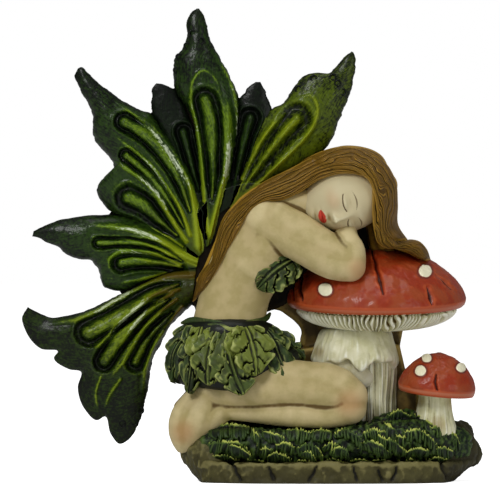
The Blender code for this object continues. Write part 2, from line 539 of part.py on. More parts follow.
def add_toadstools(clay):
    add_turned(clay, cap_profile(CAP_RADIUS, CAP_HEIGHT, CAP_LIP, GILL_DROP, STEM_RADIUS),
               CAP_X, CAP_Z, CAP_DEPTH, CAP_LEAN, steps=132, flutes=GILLS, flute=GILL_RELIEF)
    # Torn veil round the upper stem, and the stem below it
    add_turned(clay, [(0, 0), (STEM_RADIUS * 1.25, 0), (STEM_RADIUS * 1.4, -2.6), (VEIL_RADIUS, -4.6),
                      (VEIL_RADIUS * 0.96, -5.4), (STEM_RADIUS, -5.2), (0, -5.2)],
               CAP_X - 3.4, CAP_Z - 4.6, CAP_DEPTH + 2.0)
    foot = GROUND_RIM - (CAP_Z - 8.5)
    add_turned(clay, [(0, 0), (STALK_RADIUS, 0), (STALK_RADIUS, foot * 0.4),
                      (STALK_RADIUS * 1.1, foot * 0.7),
                      (STALK_RADIUS * 1.3, foot), (0, foot)], CAP_X + 0.2, CAP_Z - 8.5, CAP_DEPTH + 2.5)
    add_turned(clay, cap_profile(SMALL_CAP_RADIUS, SMALL_CAP_HEIGHT, CAP_LIP, 0.6, SMALL_STEM_RADIUS),
               SMALL_CAP_X, SMALL_CAP_Z, SMALL_CAP_DEPTH, CAP_LEAN, SMALL_CAP_ROLL)
    foot = GROUND_RIM - SMALL_CAP_Z
    add_turned(clay, [(0, 0), (SMALL_STEM_RADIUS, 0), (SMALL_STEM_RADIUS, foot * 0.4),
                      (SMALL_STEM_RADIUS * 1.2, foot * 0.7), (SMALL_STEM_RADIUS, foot), (0, foot)],
               SMALL_CAP_X, SMALL_CAP_Z, SMALL_CAP_DEPTH)
    large = (CAP_X, CAP_Z, CAP_DEPTH, CAP_RADIUS, CAP_HEIGHT)
    small = (SMALL_CAP_X, SMALL_CAP_Z, SMALL_CAP_DEPTH, SMALL_CAP_RADIUS, SMALL_CAP_HEIGHT)
    # Each spot's place is given from the middle of its cap, in parts of the cap's radius and height
    for cap, aside, up in [(large, -0.576, 0.215), (large, 0.538, 0.64), (small, -0.44, 0.54),
                           (small, -0.27, 0.89), (small, 0.62, 0.6)]:
        add_spot(clay, cap, aside, up, SPOT_RADIUS)


def add_ground(clay):
    """Stone rim, the bank of moss on it and the rocks at both ends."""
    front = [(-10.9, 0), (-10.7, 5), (-8.0, 11.5), (-1.6, 15.6), (8.0, 17),
             (17.6, 17), (26.4, 15.6), (33.0, 11), (36.5, 4.5), (36.6, 0)]
    cracks = [-2.1, 3.4, 10.1, 16.5, 20.6, 23.2, 31.2]
    form = bmesh.new()
    ring = []
    for x, depth in along_curve(front, 260):
        gap = min(abs(x - crack) for crack in cracks)
        inset = CRACK_DEPTH * math.exp(-((gap / CRACK_WIDTH) ** 2))
        place = to_space(x, -BEHIND_BACK, max(0.0, depth * GROUND_FRONT / 17.0 - inset))
        ring.append(form.verts.new(place))
    back = [form.verts.new(to_space(x, -BEHIND_BACK, -BEHIND_BACK)) for x in (front[-1][0], front[0][0])]
    face = form.faces.new(ring + back)
    grown = bmesh.ops.extrude_face_region(form, geom=[face])["geom"]
    top = [g for g in grown if isinstance(g, bmesh.types.BMVert)]
    bmesh.ops.translate(form, verts=top, vec=(0, 0, (GROUND_RIM + BEHIND_BACK) * MM))
    # The rim is cut back under both ends
    left, right = to_space(RIM_FOOT_LEFT, 0, 0).x, to_space(RIM_FOOT_RIGHT, 0, 0).x
    for vertex in ring + back:
        vertex.co.x = min(max(vertex.co.x, left), right)
    bmesh.ops.recalc_face_normals(form, faces=form.faces[:])
    pour(clay, form)
    bank = [(-6.1, 6.1, 10.0, 2.7), (0, 6.1, 12.6, 3.0), (12.8, 5.8, 13.6, 3.0),
            (20.8, 6.7, 13.2, 3.4), (28.8, 6.6, 11.0, 3.6), (32.8, 6.1, 8.5, 3.2)]
    add_limb(clay, bank)
    add_limb(clay, [(21.6, 8, 10.0, 3.2), (24.8, 9, 9.0, 2.9), (30.4, 6.7, 8.0, 3.4)])
    add_limb(clay, [(-8.8, 4.5, 6.5, 2.5), (-7.2, 5.1, 8.5, 2.8), (-5.6, 3.5, 10.0, 2.4)])
    add_limb(clay, [(32.8, 6.4, 5.0, 3.2), (33.9, 4.8, 5.5, 2.7), (30.4, 3.2, 9.5, 2.6)])
    # Tufts of moss in rows over the bank
    for row in range(MOSS_ROWS):
        turn = math.radians(60 - 42 * row)
        tufts = along_curve(bank, MOSS_TUFTS + row % 2)
        for x, z, depth, radius in tufts:
            top = (x - 0.5, z + radius * math.sin(turn), depth + radius * math.cos(turn), 0.7)
            foot = (x + 0.6, z + radius * math.sin(turn - 0.45), depth + radius * math.cos(turn - 0.45), 1.15)
            add_strand(clay, [top, foot])


def add_backing(clay):
    """What lies behind the figure and joins it to its flat back."""
    add_slab(clay, [(-7, 45.1), (0.8, 48), (8, 50.6), (16, 51.5), (22.1, 48.3), (23, 42.7), (24, 37.9),
                    (19.5, 35.2), (8, 30.4), (6.1, 28.8), (2.9, 28.5), (2.2, 26.6), (-2.9, 24.3),
                    (-8.6, 26.2),
                    (-9.6, 28.8), (-10.1, 30.7), (-10.1, 35.2), (-9.4, 39.5), (-8.3, 42.9)], 3.8)
    add_slab(clay, [(-10.2, 14.4), (-9, 21.1), (-8.6, 25.6), (1.9, 25.6), (8, 21.1), (12.8, 21.9),
                    (24, 21.9),
                    (25, 17.6), (27.2, 15.7), (27.2, 11.2), (32.8, 8.6), (33.9, 1.9), (-8.6, 1.9),
                    (-10.2, 5.4), (-12.8, 8.3), (-12.2, 12.2)], 5.5)
    # The see-through gap's upper edge follows the first nine points
    add_slab(clay, [(2.6, 28.2), (3.2, 27.5), (4.2, 27.4), (5, 27.2), (5.9, 26.5), (6.9, 25.8),
                    (7.7, 25), (8.2, 24.3),
                    (8.2, 23.5), (7.7, 22.4), (7.4, 20.8), (12.8, 20.2), (24, 21.1), (24.6, 24.3),
                    (27.2, 27.2), (8, 29.8)], 3.4)


# Casting and magnet

def material_of(name, colour, roughness, metallic=0.0):
    made = bpy.data.materials.new(name)
    made.use_nodes = True
    shader = made.node_tree.nodes["Principled BSDF"]
    shader.inputs["Base Color"].default_value = (*colour, 1)
    shader.inputs["Roughness"].default_value = roughness
    shader.inputs["Metallic"].default_value = metallic
    return made


def object_of(name, form):
    mesh = bpy.data.meshes.new(name)
    form.to_mesh(mesh)
    form.free()
    made = bpy.data.objects.new(name, mesh)
    bpy.context.scene.collection.objects.link(made)
    return made


def settle(thing):
    """Applies an object's modifiers to its mesh."""
    bpy.context.view_layer.update()
    graph = bpy.context.evaluated_depsgraph_get()
    mesh = bpy.data.meshes.new_from_object(thing.evaluated_get(graph))
    thing.modifiers.clear()
    thing.data = mesh


def cut(thing, cutter, operation):
    """Adds an exact Boolean with a cutter that isn't shown."""
    cutter.hide_render = True
    cutter.display_type = "WIRE"
    boolean = thing.modifiers.new(cutter.name, "BOOLEAN")
    boolean.object = cutter
    boolean.operation = operation
    boolean.solver = "EXACT"


def disc(radius, length, front_y):
    """A short cylinder whose axis is +Y and whose outer face is at front_y, mm."""
    form = bmesh.new()
    bmesh.ops.create_cone(form, cap_ends=True, segments=64, radius1=radius * MM, radius2=radius * MM,
                          depth=length * MM)
    place = Matrix.Translation((0, (front_y - length / 2) * MM, 0)) @ Matrix.Rotation(math.pi / 2, 4, "X")
    bmesh.ops.transform(form, matrix=place, verts=form.verts[:])
    return form


def build_casting():
    clay = bmesh.new()
    add_backing(clay)
    add_wings(clay)
    add_body(clay)
    add_head(clay)
    add_hair(clay)
    add_leaves(clay)
    add_toadstools(clay)
    add_ground(clay)
    casting = object_of("fairy_casting", clay)

    fuse = casting.modifiers.new("fuse", "REMESH")
    fuse.mode = "VOXEL"
    fuse.voxel_size = CLAY_VOXEL * MM
    soften = casting.modifiers.new("soften", "SMOOTH")
    soften.factor = 0.4
    soften.iterations = CLAY_SMOOTHING
    settle(casting)
    casting.data.calc_loop_triangles()
    # The head keeps a finer mesh than the rest
    plain = casting.vertex_groups.new(name="plain")
    head = to_space(HEAD_X, HEAD_Z, HEAD_DEPTH + HEAD_HALF_DEPTH)
    for vertex in casting.data.vertices:
        away = (vertex.co - head).length / MM
        plain.add([vertex.index], min(1.0, max(FACE_WEIGHT, away / HEAD_HALF_HEIGHT)), "REPLACE")
    thin = casting.modifiers.new("thin", "DECIMATE")
    thin.vertex_group = plain.name
    thin.vertex_group_factor = 0.07
    thin.ratio = CASTING_TRIANGLES / len(casting.data.loop_triangles)
    settle(casting)

    keep = bmesh.new()
    bmesh.ops.create_cube(keep, size=1)
    corner = to_space(-BOARD_REACH, 0, 0)
    far = to_space(BOARD_REACH, 2 * BOARD_REACH, BOARD_REACH)
    middle = (corner + far) / 2
    reach = far - corner
    bmesh.ops.transform(keep, verts=keep.verts[:],
                        matrix=Matrix.Translation(middle) @ Matrix.Diagonal((*map(abs, reach), 1)))
    cut(casting, object_of("board_box", keep), "INTERSECT")
    pocket = disc(MAGNET_DIAMETER / 2 + GLUE_GAP, MAGNET_THICKNESS + GLUE_GAP, 0)
    cut(casting, object_of("magnet_pocket", pocket), "DIFFERENCE")
    casting.data.materials.append(material_of("painted_resin", (0.12, 0.2, 0.05), 0.35))


def build_magnet():
    form = disc(MAGNET_DIAMETER / 2, MAGNET_THICKNESS, 0)
    bmesh.ops.bevel(form, geom=[e for e in form.edges if e.calc_face_angle(0) > 1.0],
                    offset=MAGNET_CHAMFER * MM, offset_type="OFFSET", segments=1, profile=0.5,
                    affect="EDGES", material=-1)
    magnet = object_of("disc_magnet", form)
    magnet.data.materials.append(material_of("ferrite", (0.05, 0.05, 0.055), 0.6))


def main():
    for thing in list(bpy.data.objects):
        bpy.data.objects.remove(thing)
    build_casting()
    build_magnet()


main()
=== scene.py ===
# %% [markdown]
# # A painted fridge magnet: a leaf-winged fairy asleep on a toadstool
#
# The real thing is one casting of filled polyester resin, about 76 mm tall, poured in a rubber mould with a
# flat open back. It was painted by hand: dark washes that settle in the hollows, lighter paint dragged over
# the ridges, and a clear varnish on the wings and the toadstools. This lesson models each painted area as a
# piece of its own, in the place where the casting has it, and then paints it the way a hand would.

# %% Frame, units and helpers
import math

import bmesh
import bpy
import numpy as np
from mathutils import Matrix, Vector, noise


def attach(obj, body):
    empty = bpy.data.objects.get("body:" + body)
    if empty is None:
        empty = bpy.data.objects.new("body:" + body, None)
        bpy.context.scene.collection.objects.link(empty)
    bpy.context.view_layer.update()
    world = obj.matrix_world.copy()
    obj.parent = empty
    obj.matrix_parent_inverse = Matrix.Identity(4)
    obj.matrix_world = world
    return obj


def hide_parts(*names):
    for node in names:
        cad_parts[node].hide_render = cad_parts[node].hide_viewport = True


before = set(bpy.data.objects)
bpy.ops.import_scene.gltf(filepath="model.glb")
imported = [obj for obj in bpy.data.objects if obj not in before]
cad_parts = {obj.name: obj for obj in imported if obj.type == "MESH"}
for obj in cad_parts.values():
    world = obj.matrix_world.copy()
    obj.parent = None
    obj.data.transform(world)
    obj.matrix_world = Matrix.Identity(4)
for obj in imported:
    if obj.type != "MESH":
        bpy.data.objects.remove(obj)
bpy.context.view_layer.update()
MM = 0.001
BOARD_X, BOARD_Z = 0.3, 37.1  # the middle of the magnet on the drawing board, mm
PROUD = 0.4  # how far the magnet stands out of the flat back
PLATE = 0.6  # how thick the bare plate behind the paint is
CLOSED_AT = 0.3  # most pieces end this far in front of the flat back, inside that plate

# %% [markdown]
# The figure is laid out on a drawing board, as a relief carver would do it. A point is x to the right and z
# up, in millimetres from the middle of the underside of the rock, with its depth in front of the flat back.
# The origin of the frame is the middle of the magnet's face, so one function takes a board point there.

# %% Board points
def to_space(x, z, depth):
    return Vector(((x - BOARD_X) * MM, -(PROUD + depth) * MM, (z - BOARD_Z) * MM))


def along_curve(points, count, knots=None):
    """Evenly spread points on a smooth curve through the given ones."""
    points = np.array(points, float)
    if knots is None:
        steps = np.linalg.norm(np.diff(points[:, :2], axis=0), axis=1)
        knots = np.concatenate([[0.0], np.cumsum(steps)])
    knots = np.array(knots, float)
    slope = np.gradient(points, knots, axis=0)
    where = np.linspace(0.0, knots[-1], count)
    left = np.clip(np.searchsorted(knots, where, side="right") - 1, 0, len(knots) - 2)
    span = (knots[left + 1] - knots[left])[:, None]
    t = (where - knots[left])[:, None] / span
    start = (2 * t**3 - 3 * t**2 + 1) * points[left] + (t**3 - 2 * t**2 + t) * span * slope[left]
    end = (3 * t**2 - 2 * t**3) * points[left + 1] + (t**3 - t**2) * span * slope[left + 1]
    return start + end


def nearest_on(line, x, z):
    """Distance from board points to a line of (x, z, width), the width there, and how far along it is."""
    line = np.array(line, float)
    best, width, along = np.full(np.shape(x), 1e9), np.zeros(np.shape(x)), np.zeros(np.shape(x))
    for k, (a, b) in enumerate(zip(line[:-1], line[1:])):
        step = b - a
        t = np.clip(((x - a[0]) * step[0] + (z - a[1]) * step[1]) / (step[0] ** 2 + step[1] ** 2), 0, 1)
        distance = np.hypot(x - a[0] - t * step[0], z - a[1] - t * step[1])
        closer = distance < best
        best = np.where(closer, distance, best)
        width = np.where(closer, a[2] + t * step[2], width)
        along = np.where(closer, (k + t) / (len(line) - 1), along)
    return best, width, along


# %% [markdown]
# Every piece ends the same way: its mesh goes into an object at the origin, gets a finish, and is attached to
# the root body, while the CAD casting that it stands for is hidden. Numbers that the finishes read, such as
# how deep a hollow is, are stored on the points of the mesh as named attributes.

# %% Finished pieces
def piece_from(name, form, finish, smooth=True):
    mesh = bpy.data.meshes.new(name)
    form.to_mesh(mesh)
    form.free()
    return dress(bpy.data.objects.new(name, mesh), finish, smooth)


def dress(piece, finish, smooth=True):
    if piece.name not in bpy.context.scene.collection.objects:
        bpy.context.scene.collection.objects.link(piece)
    piece.data.polygons.foreach_set("use_smooth", [smooth] * len(piece.data.polygons))
    piece.data.materials.clear()
    piece.data.materials.append(finish)
    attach(piece, "root")
    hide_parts("fairy_casting")
    print(piece.name, len(piece.data.polygons), "faces")
    return piece


def store(piece, name, values):
    layer = piece.data.attributes.new(name, "FLOAT", "POINT")
    layer.data.foreach_set("value", np.ascontiguousarray(values, dtype=np.float32))


def points_of(piece):
    flat = np.empty(len(piece.data.vertices) * 3, dtype=np.float32)
    piece.data.vertices.foreach_get("co", flat)
    return flat.reshape(-1, 3).astype(float)


def board_of(points):
    """Board x, board z and depth of points in space, mm."""
    return points[:, 0] / MM + BOARD_X, points[:, 2] / MM + BOARD_Z, -points[:, 1] / MM - PROUD


def normals_of(piece):
    flat = np.empty(len(piece.data.vertices) * 3, dtype=np.float32)
    piece.data.vertex_normals.foreach_get("vector", flat)
    return flat.reshape(-1, 3).astype(float)


def mark_hollows(piece, passes):
    """Stores how far each point lies below its surroundings, mm: hollows above 0, ridges below 0."""
    count = len(piece.data.vertices)
    ends = np.empty(len(piece.data.edges) * 2, dtype=np.int32)
    piece.data.edges.foreach_get("vertices", ends)
    a, b = ends[0::2], ends[1::2]
    share = np.maximum(np.bincount(a, minlength=count) + np.bincount(b, minlength=count), 1)
    places = points_of(piece)
    soft = places.copy()
    for _ in range(passes):
        soft = np.stack([np.bincount(a, soft[b, k], count) + np.bincount(b, soft[a, k], count)
                         for k in range(3)], axis=1) / share[:, None]
    values = ((soft - places) * normals_of(piece)).sum(axis=1) / MM
    store(piece, "hollow", values)
    return values


def settled(piece):
    """The piece with its modifiers applied, as a new object without any."""
    bpy.context.scene.collection.objects.link(piece)
    bpy.context.view_layer.update()
    graph = bpy.context.evaluated_depsgraph_get()
    mesh = bpy.data.meshes.new_from_object(piece.evaluated_get(graph))
    name = piece.name
    bpy.data.objects.remove(piece)
    mesh.name = name
    return bpy.data.objects.new(name, mesh)


def fused(name, form, voxel, soften):
    """Overlapping closed forms as one smooth skin, the way clay closes over its lumps."""
    mesh = bpy.data.meshes.new(name + "_form")
    form.to_mesh(mesh)
    form.free()
    lump = bpy.data.objects.new(name, mesh)
    remesh = lump.modifiers.new("fuse", "REMESH")
    remesh.mode = "VOXEL"
    remesh.voxel_size = voxel * MM
    smooth = lump.modifiers.new("soften", "SMOOTH")
    smooth.factor = 0.5
    smooth.iterations = soften
    return settled(lump)


# %% [markdown]
# A few small moves come back all the time: drawing faces out to a thickness, closing a relief behind its open
# border, taking a fused lump up again to roughen it, and adding one form to another.

# %% Small moves
def open_edges(form):
    return [e for e in form.edges if e.is_boundary]


def points_in(geometry):
    return [g for g in geometry if isinstance(g, bmesh.types.BMVert)]


def grid_form(across, along):
    """A flat net of across by along points, from -1 to 1 both ways."""
    form = bmesh.new()
    bmesh.ops.create_grid(form, x_segments=across - 1, y_segments=along - 1, size=1)
    return form


def draw_out(form, faces, way):
    """Gives faces a thickness."""
    grown = bmesh.ops.extrude_face_region(form, geom=faces)["geom"]
    bmesh.ops.translate(form, verts=points_in(grown), vec=way)


def close_behind(form, push):
    """Draws the open border out, lets push place each new point, and fills the hole behind."""
    for vertex in points_in(bmesh.ops.extrude_edge_only(form, edges=open_edges(form))["geom"]):
        push(vertex)
    bmesh.ops.holes_fill(form, edges=open_edges(form), sides=0)
    bmesh.ops.recalc_face_normals(form, faces=form.faces[:])


def reopened(lump):
    """A fused lump as a form again, with its normals."""
    form = bmesh.new()
    form.from_mesh(lump.data)
    bpy.data.objects.remove(lump)
    form.normal_update()
    return form


def join_form(whole, form):
    mesh = bpy.data.meshes.new("form")
    form.to_mesh(mesh)
    form.free()
    whole.from_mesh(mesh)
    bpy.data.meshes.remove(mesh)


# %% [markdown]
# ## Paint
#
# Cold-cast resin takes acrylic paint. Three things make it look hand-painted: the colour is darker in the
# hollows, lighter and drier on the ridges, and it is never one even tone. Each finish below starts from
# sRGB colours, turned to linear ones here, and mixes them by the attributes of its piece and by noise whose
# grain is given in millimetres. One small function adds a node with its settings and links.

# %% Paint helpers
def paint(hex_code):
    """An sRGB hex colour as linear RGBA."""
    parts = [int(hex_code[i:i + 2], 16) / 255 for i in (0, 2, 4)]
    return [v / 12.92 if v <= 0.04045 else ((v + 0.055) / 1.055) ** 2.4 for v in parts] + [1.0]


def add_node(tree, kind, inputs=None, output=0, **settings):
    """Adds a node with its settings, its links and its typed-in values, and hands back one output."""
    made = tree.nodes.new(kind)
    for key, value in settings.items():
        setattr(made, key, value)
    for key, value in (inputs or {}).items():
        if isinstance(value, bpy.types.NodeSocket):
            tree.links.new(value, made.inputs[key])
        else:
            made.inputs[key].default_value = value
    return made.outputs[output]


def bare_resin(name, roughness, varnish=0.0, varnish_roughness=0.1, specular=0.5):
    """A new finish on the casting: its material, its node tree and its shader."""
    material = bpy.data.materials.new(name)
    material.use_nodes = True
    shader = material.node_tree.nodes["Principled BSDF"]
    shader.inputs["Roughness"].default_value = roughness
    shader.inputs["Coat Weight"].default_value = varnish
    shader.inputs["Coat Roughness"].default_value = varnish_roughness
    shader.inputs["Specular IOR Level"].default_value = specular
    return material, material.node_tree, shader


def coat(tree, under, colour, where, low, high, most=1.0):
    """A thin coat of one colour over what is under it, covering as a value goes from low to high."""
    cover = add_node(tree, "ShaderNodeMapRange", {0: where, 1: low, 2: high, 3: 0.0, 4: most},
                     interpolation_type="SMOOTHSTEP")
    over = colour if isinstance(colour, bpy.types.NodeSocket) else paint(colour)
    return add_node(tree, "ShaderNodeMix", {0: cover, 6: under, 7: over}, 2, data_type="RGBA")


def blend_of(tree, value, share, *others):
    """A value plus a share of each other one, which are noises round 0.5."""
    for other in others:
        middled = add_node(tree, "ShaderNodeMath", {0: other, 1: 0.5}, operation="SUBTRACT")
        value = add_node(tree, "ShaderNodeMath", {0: middled, 1: share, 2: value}, operation="MULTIPLY_ADD")
    return value


def finish_off(tree, shader, colour, raised, depth_mm, strength=1.0):
    """Lays the mixed colour on the shader, with the brush marks or grit that stand up from it."""
    tree.links.new(colour, shader.inputs["Base Color"])
    bump = add_node(tree, "ShaderNodeBump",
                    {"Height": raised, "Strength": strength, "Distance": depth_mm * MM})
    tree.links.new(bump, shader.inputs["Normal"])


# %% [markdown]
# ## Wings
#
# The wings are thick leaf blades, glossy dark green. Each carries long tear-shaped tongues inside deep
# trenches, with smooth ribs between them. The paint is nearly black in the trenches, leaf green on the
# tongues, yellow-green on the ribs near the root, and a silvery green was dragged over the highest ribs.
# The varnish is thick enough to be a coat of its own: polyurethane, IOR 1.5, so the coat keeps its default.

# %% Varnished leaf paint
def leaf_paint(name, trench, body, bright, silver, root_tone, varnish=0.2):
    material, tree, shader = bare_resin(name, 0.45, varnish, 0.2, 0.12)
    place = add_node(tree, "ShaderNodeTexCoord", output="Object")
    height, dry, root, margin = (add_node(tree, "ShaderNodeAttribute", output="Fac", attribute_name=mark)
                                 for mark in ("height", "silver", "root", "margin"))
    comb = add_node(tree, "ShaderNodeAttribute", output="Vector", attribute_name="comb")
    drawn = add_node(tree, "ShaderNodeMapping",
                     {"Vector": comb, "Scale": (1 / (0.2 * MM), 1 / (2.2 * MM), 1)})
    streaks = add_node(tree, "ShaderNodeTexNoise", {"Vector": drawn, "Scale": 1, "Detail": 4})
    blotches = add_node(tree, "ShaderNodeTexNoise", {"Vector": place, "Scale": 1 / (3 * MM), "Detail": 4})
    grit = add_node(tree, "ShaderNodeTexNoise", {"Vector": place, "Scale": 1 / (0.45 * MM), "Detail": 3})
    level = blend_of(tree, blend_of(tree, height, 0.5, blotches), 0.9, streaks, grit)
    colour = coat(tree, paint(trench), body, level, -0.05, 0.4)
    colour = coat(tree, colour, bright, level, 0.42, 1.05)
    yellowed = add_node(tree, "ShaderNodeMath", {0: root, 1: height}, operation="MULTIPLY")
    colour = coat(tree, colour, root_tone, yellowed, 0.2, 0.75)
    colour = coat(tree, colour, silver, blend_of(tree, dry, 1.4, streaks, grit), 0.55, 1.0, 0.9)
    colour = coat(tree, colour, trench, margin, 0.6, 0.05, 0.6)
    finish_off(tree, shader, colour, blend_of(tree, streaks, 0.3, grit), 0.06, 0.6)
    return material


leaf_green = leaf_paint("acrylic on resin, leaf green, varnished", "040a02", "22380a", "668216", "cdd8ba",
                        "8a9a18")
olive_green = leaf_paint("acrylic on resin, olive green, varnished", "070c03", "243606", "6d8014", "c2cda6",
                         "55480e", varnish=0.15)
side_green = leaf_paint("acrylic on resin, moss olive, varnished", "0c1403", "4c5c09", "7d8b12", "b9c592",
                        "6d7410", varnish=0.15)
# The darkest green is painted shade on the lobes at the back of the fan, behind the other blades; the punched
# rings take it as their own dark colour.
shade_green = leaf_paint("acrylic on resin, bottle green, varnished", "040803", "0d1a07", "2b4210", "5a6d45",
                         "101c06", varnish=0.12)

# %% [markdown]
# A blade is a fine net stretched through its cross rows. Its height is the sum of a crowned body, the
# tongues, the trenches round them and the ribs, all measured from their centre lines on the board. The same
# numbers are stored for the paint, so colour and carving always agree. The back is closed flat.

# %% Leaf blades
ring_marks = []
TONGUE_RISE, TRENCH_DROP, RIM_RISE, RIB_RISE = 0.75, 0.95, 0.3, 0.95
BLADE_EDGE = 1.25
THINNEST = 0.35  # a blade keeps at least this much over its back edge
# Over the magnet's pocket a blade is closed in front of the pocket and stands clear of its lid
POCKET_EDGE, POCKET_FRONT = 10.5, 3.4
CLEAR_EDGE, CLEAR_DEPTH, CLEAR_DROP, CLEAR_SLOPE = 10.6, 4.1, 3.2, 1.6


def ripple(x, z, scale, layer, rough, octaves):
    """Fractal noise over board points."""
    return np.array([noise.fractal((a * scale, b * scale, layer), rough, 2.1, octaves)
                     for a, b in zip(x.ravel(), z.ravel())]).reshape(x.shape)


def net_of(rows, across, along):
    crossed = np.array([along_curve(row, across) for row in rows])
    steps = np.linalg.norm(np.diff(crossed, axis=0), axis=2).mean(axis=1)
    knots = np.concatenate([[0.0], np.cumsum(steps)])
    return along_curve(crossed.reshape(len(rows), -1), along, knots).reshape(along, across, 2)


def leaf_blade(name, finish, rows, crown, tongues=(), ribs=(), marks=(), along=240, across=100, back=0.3):
    """rows: cross rows, root first. tongues: (trench width, line). ribs: (silver, line). A line has
    (x, z, width) points. marks: board points for punched rings."""
    net = net_of(rows, across, along)
    x, z = net[..., 0], net[..., 1]
    v = np.linspace(-1, 1, across)[None, :] * np.ones((along, 1))
    u = np.linspace(0, 1, along)[:, None] * np.ones((1, across))
    swell = np.clip(1 - v**2, 0, 1) ** 0.55 * np.clip((1 - u) * 3.2, 0, 1) ** 0.7
    shake = ripple(x, z, 0.5, 3.1, 0.6, 4)
    x = x + 0.16 * ripple(x, z, 1.1, 8.4, 0.8, 3) * np.clip(np.abs(v) * 4 - 3, 0, 1)
    inner = swell * np.clip((0.92 - u) * 3, 0, 1)
    relief, light, silver = np.zeros(x.shape), 0.08 + 0.28 * inner, np.zeros(x.shape)
    for trench, line in tongues:
        distance, width, part = nearest_on(along_curve(line, 40), x, z)
        distance = distance + 0.10 * shake
        opened = np.clip(part * 5, 0, 1)
        broad = trench * (0.4 + 0.6 * opened + 0.25 * np.clip(part * 4 - 3, 0, 1))
        inside = np.sqrt(np.clip(1 - (distance / np.maximum(width, 0.05)) ** 2, 0, 1))
        across_gap = (distance - width) / broad
        gap = np.exp(-(((across_gap - 0.5) / 0.52) ** 2)) * (0.5 + 0.5 * opened)
        wall = np.exp(-(((across_gap - 0.98) / 0.16) ** 2)) * opened
        rim = np.exp(-(((across_gap - 1.3) / 0.25) ** 2)) * opened
        near_root = 1 - np.clip(part * 2.0, 0, 1)
        relief += TONGUE_RISE * inside * np.minimum(1, width / 0.7)
        relief -= TRENCH_DROP * gap * min(1.0, trench / 0.8)
        relief += RIM_RISE * rim
        light += 0.42 * inside**0.8 * (0.7 + 0.5 * np.clip(part, 0, 1)) + 0.26 * rim
        light -= gap * (0.34 + 0.2 * near_root) + 0.08 * wall
        silver += 0.3 * inside**3 * np.exp(-(((part - 0.55) / 0.28) ** 2))
    for shine, line in ribs:
        distance, width, part = nearest_on(along_curve(line, 40), x, z)
        fade = np.clip((1 - part) * 6, 0, 1) ** 0.7
        ridge = np.exp(-((distance / np.maximum(width, 0.12)) ** 2)) * fade
        relief += RIB_RISE * np.minimum(1, width / 0.5) * ridge
        light += 0.85 * ridge * (1.0 - 0.35 * np.clip(part - 0.4, 0, 1))
        silver += shine * ridge**1.3 * np.exp(-(((part - 0.55) / 0.26) ** 2))
    depth = BLADE_EDGE + (crown - BLADE_EDGE) * swell + (relief + 0.08 * shake) * swell**0.5
    from_magnet = np.hypot(x - BOARD_X, z - BOARD_Z)
    clear = CLEAR_DEPTH - CLEAR_DROP * np.clip((from_magnet - CLEAR_EDGE) / CLEAR_SLOPE, 0, 1)
    depth = np.maximum(depth, np.maximum(back + THINNEST, clear))
    for mark in marks:
        i, j = np.unravel_index(np.argmin(np.hypot(x - mark[0], z - mark[1])), x.shape)
        ring_marks.append((mark[0], mark[1], depth[i, j]))

    def to_the_back(vertex):
        near_magnet = math.hypot(vertex.co.x, vertex.co.z) < POCKET_EDGE * MM
        vertex.co.y = -(PROUD + (POCKET_FRONT if near_magnet else back)) * MM

    form = grid_form(across, along)
    cells = [(round((w.co.y + 1) / 2 * (along - 1)), round((w.co.x + 1) / 2 * (across - 1)))
             for w in form.verts]
    for vertex, (i, j) in zip(form.verts, cells):
        vertex.co = to_space(x[i, j], z[i, j], depth[i, j])
    close_behind(form, to_the_back)
    piece = piece_from(name, form, finish)

    count = len(piece.data.vertices)
    rows_at, columns_at = np.array(cells).T
    edge_gap = np.minimum(1 - np.abs(v),
                          (1 - u) * 2.2) * np.linalg.norm(net[:, 0] - net[:, -1], axis=1)[:, None]

    def spread(grid, rest):
        values = np.full(count, rest, float)
        values[:len(cells)] = grid[rows_at, columns_at]
        return values

    store(piece, "height", spread(np.clip(light, 0, 1.3), 0.1))
    store(piece, "silver", spread(np.clip(silver, 0, 1), 0))
    store(piece, "root", spread(np.clip(1.15 - u * 2.6, 0, 1), 0))
    store(piece, "margin", spread(edge_gap, 0))
    length = np.cumsum(np.linalg.norm(np.diff(net, axis=0, prepend=net[:1]), axis=2), axis=0)
    breadth = np.cumsum(np.linalg.norm(np.diff(net, axis=1, prepend=net[:, :1]), axis=2), axis=1)
    comb = piece.data.attributes.new("comb", "FLOAT_VECTOR", "POINT")
    flat = np.zeros((count, 3), np.float32)
    flat[:len(cells), 0] = breadth[rows_at, columns_at] * MM
    flat[:len(cells), 1] = length[rows_at, columns_at] * MM
    comb.data.foreach_set("vector", flat.ravel())


# %% Lobes at the back of the fan
leaf_blade("wing_lobe_left", shade_green, [[(-7.5, 38.7), (-6.7, 38.7)], [(-9.6, 45.9), (-7, 45.1)],
           [(-12.8, 52.8), (-7.8, 51.5)], [(-14.7, 57), (-9.1, 56.3)], [(-15.8, 59.2), (-10.2, 59.2)],
           [(-15.8, 61.4), (-11.4, 61.6)], [(-15.7, 63), (-12.5, 63)], [(-15.2, 63.8), (-14.1, 63.7)]], 2.6,
           [(0.7, [(-8.2, 46.7, 0.2), (-9.6, 51.5, 0.45), (-10.7, 56, 0.6)])], back=0.25)
leaf_blade("wing_lobe_right", shade_green, [[(-5.1, 42.7), (-2.9, 44.3)], [(-3.2, 50.7), (0, 50.7)],
           [(-2.2, 55.5), (1.9, 55)], [(-1.8, 58.2), (3.4, 57.9)], [(-1.8, 61), (3.4, 60)], [(-1, 62.2),
           (2.7, 61.6)], [(0, 63.4), (2.2, 63)], [(1, 64), (1.6, 64)]], 2.4, [(0.8, [(-2.6, 46.7, 0.2),
           (-1.3, 53.1, 0.5), (0, 58.2, 0.7)])], back=0.25)

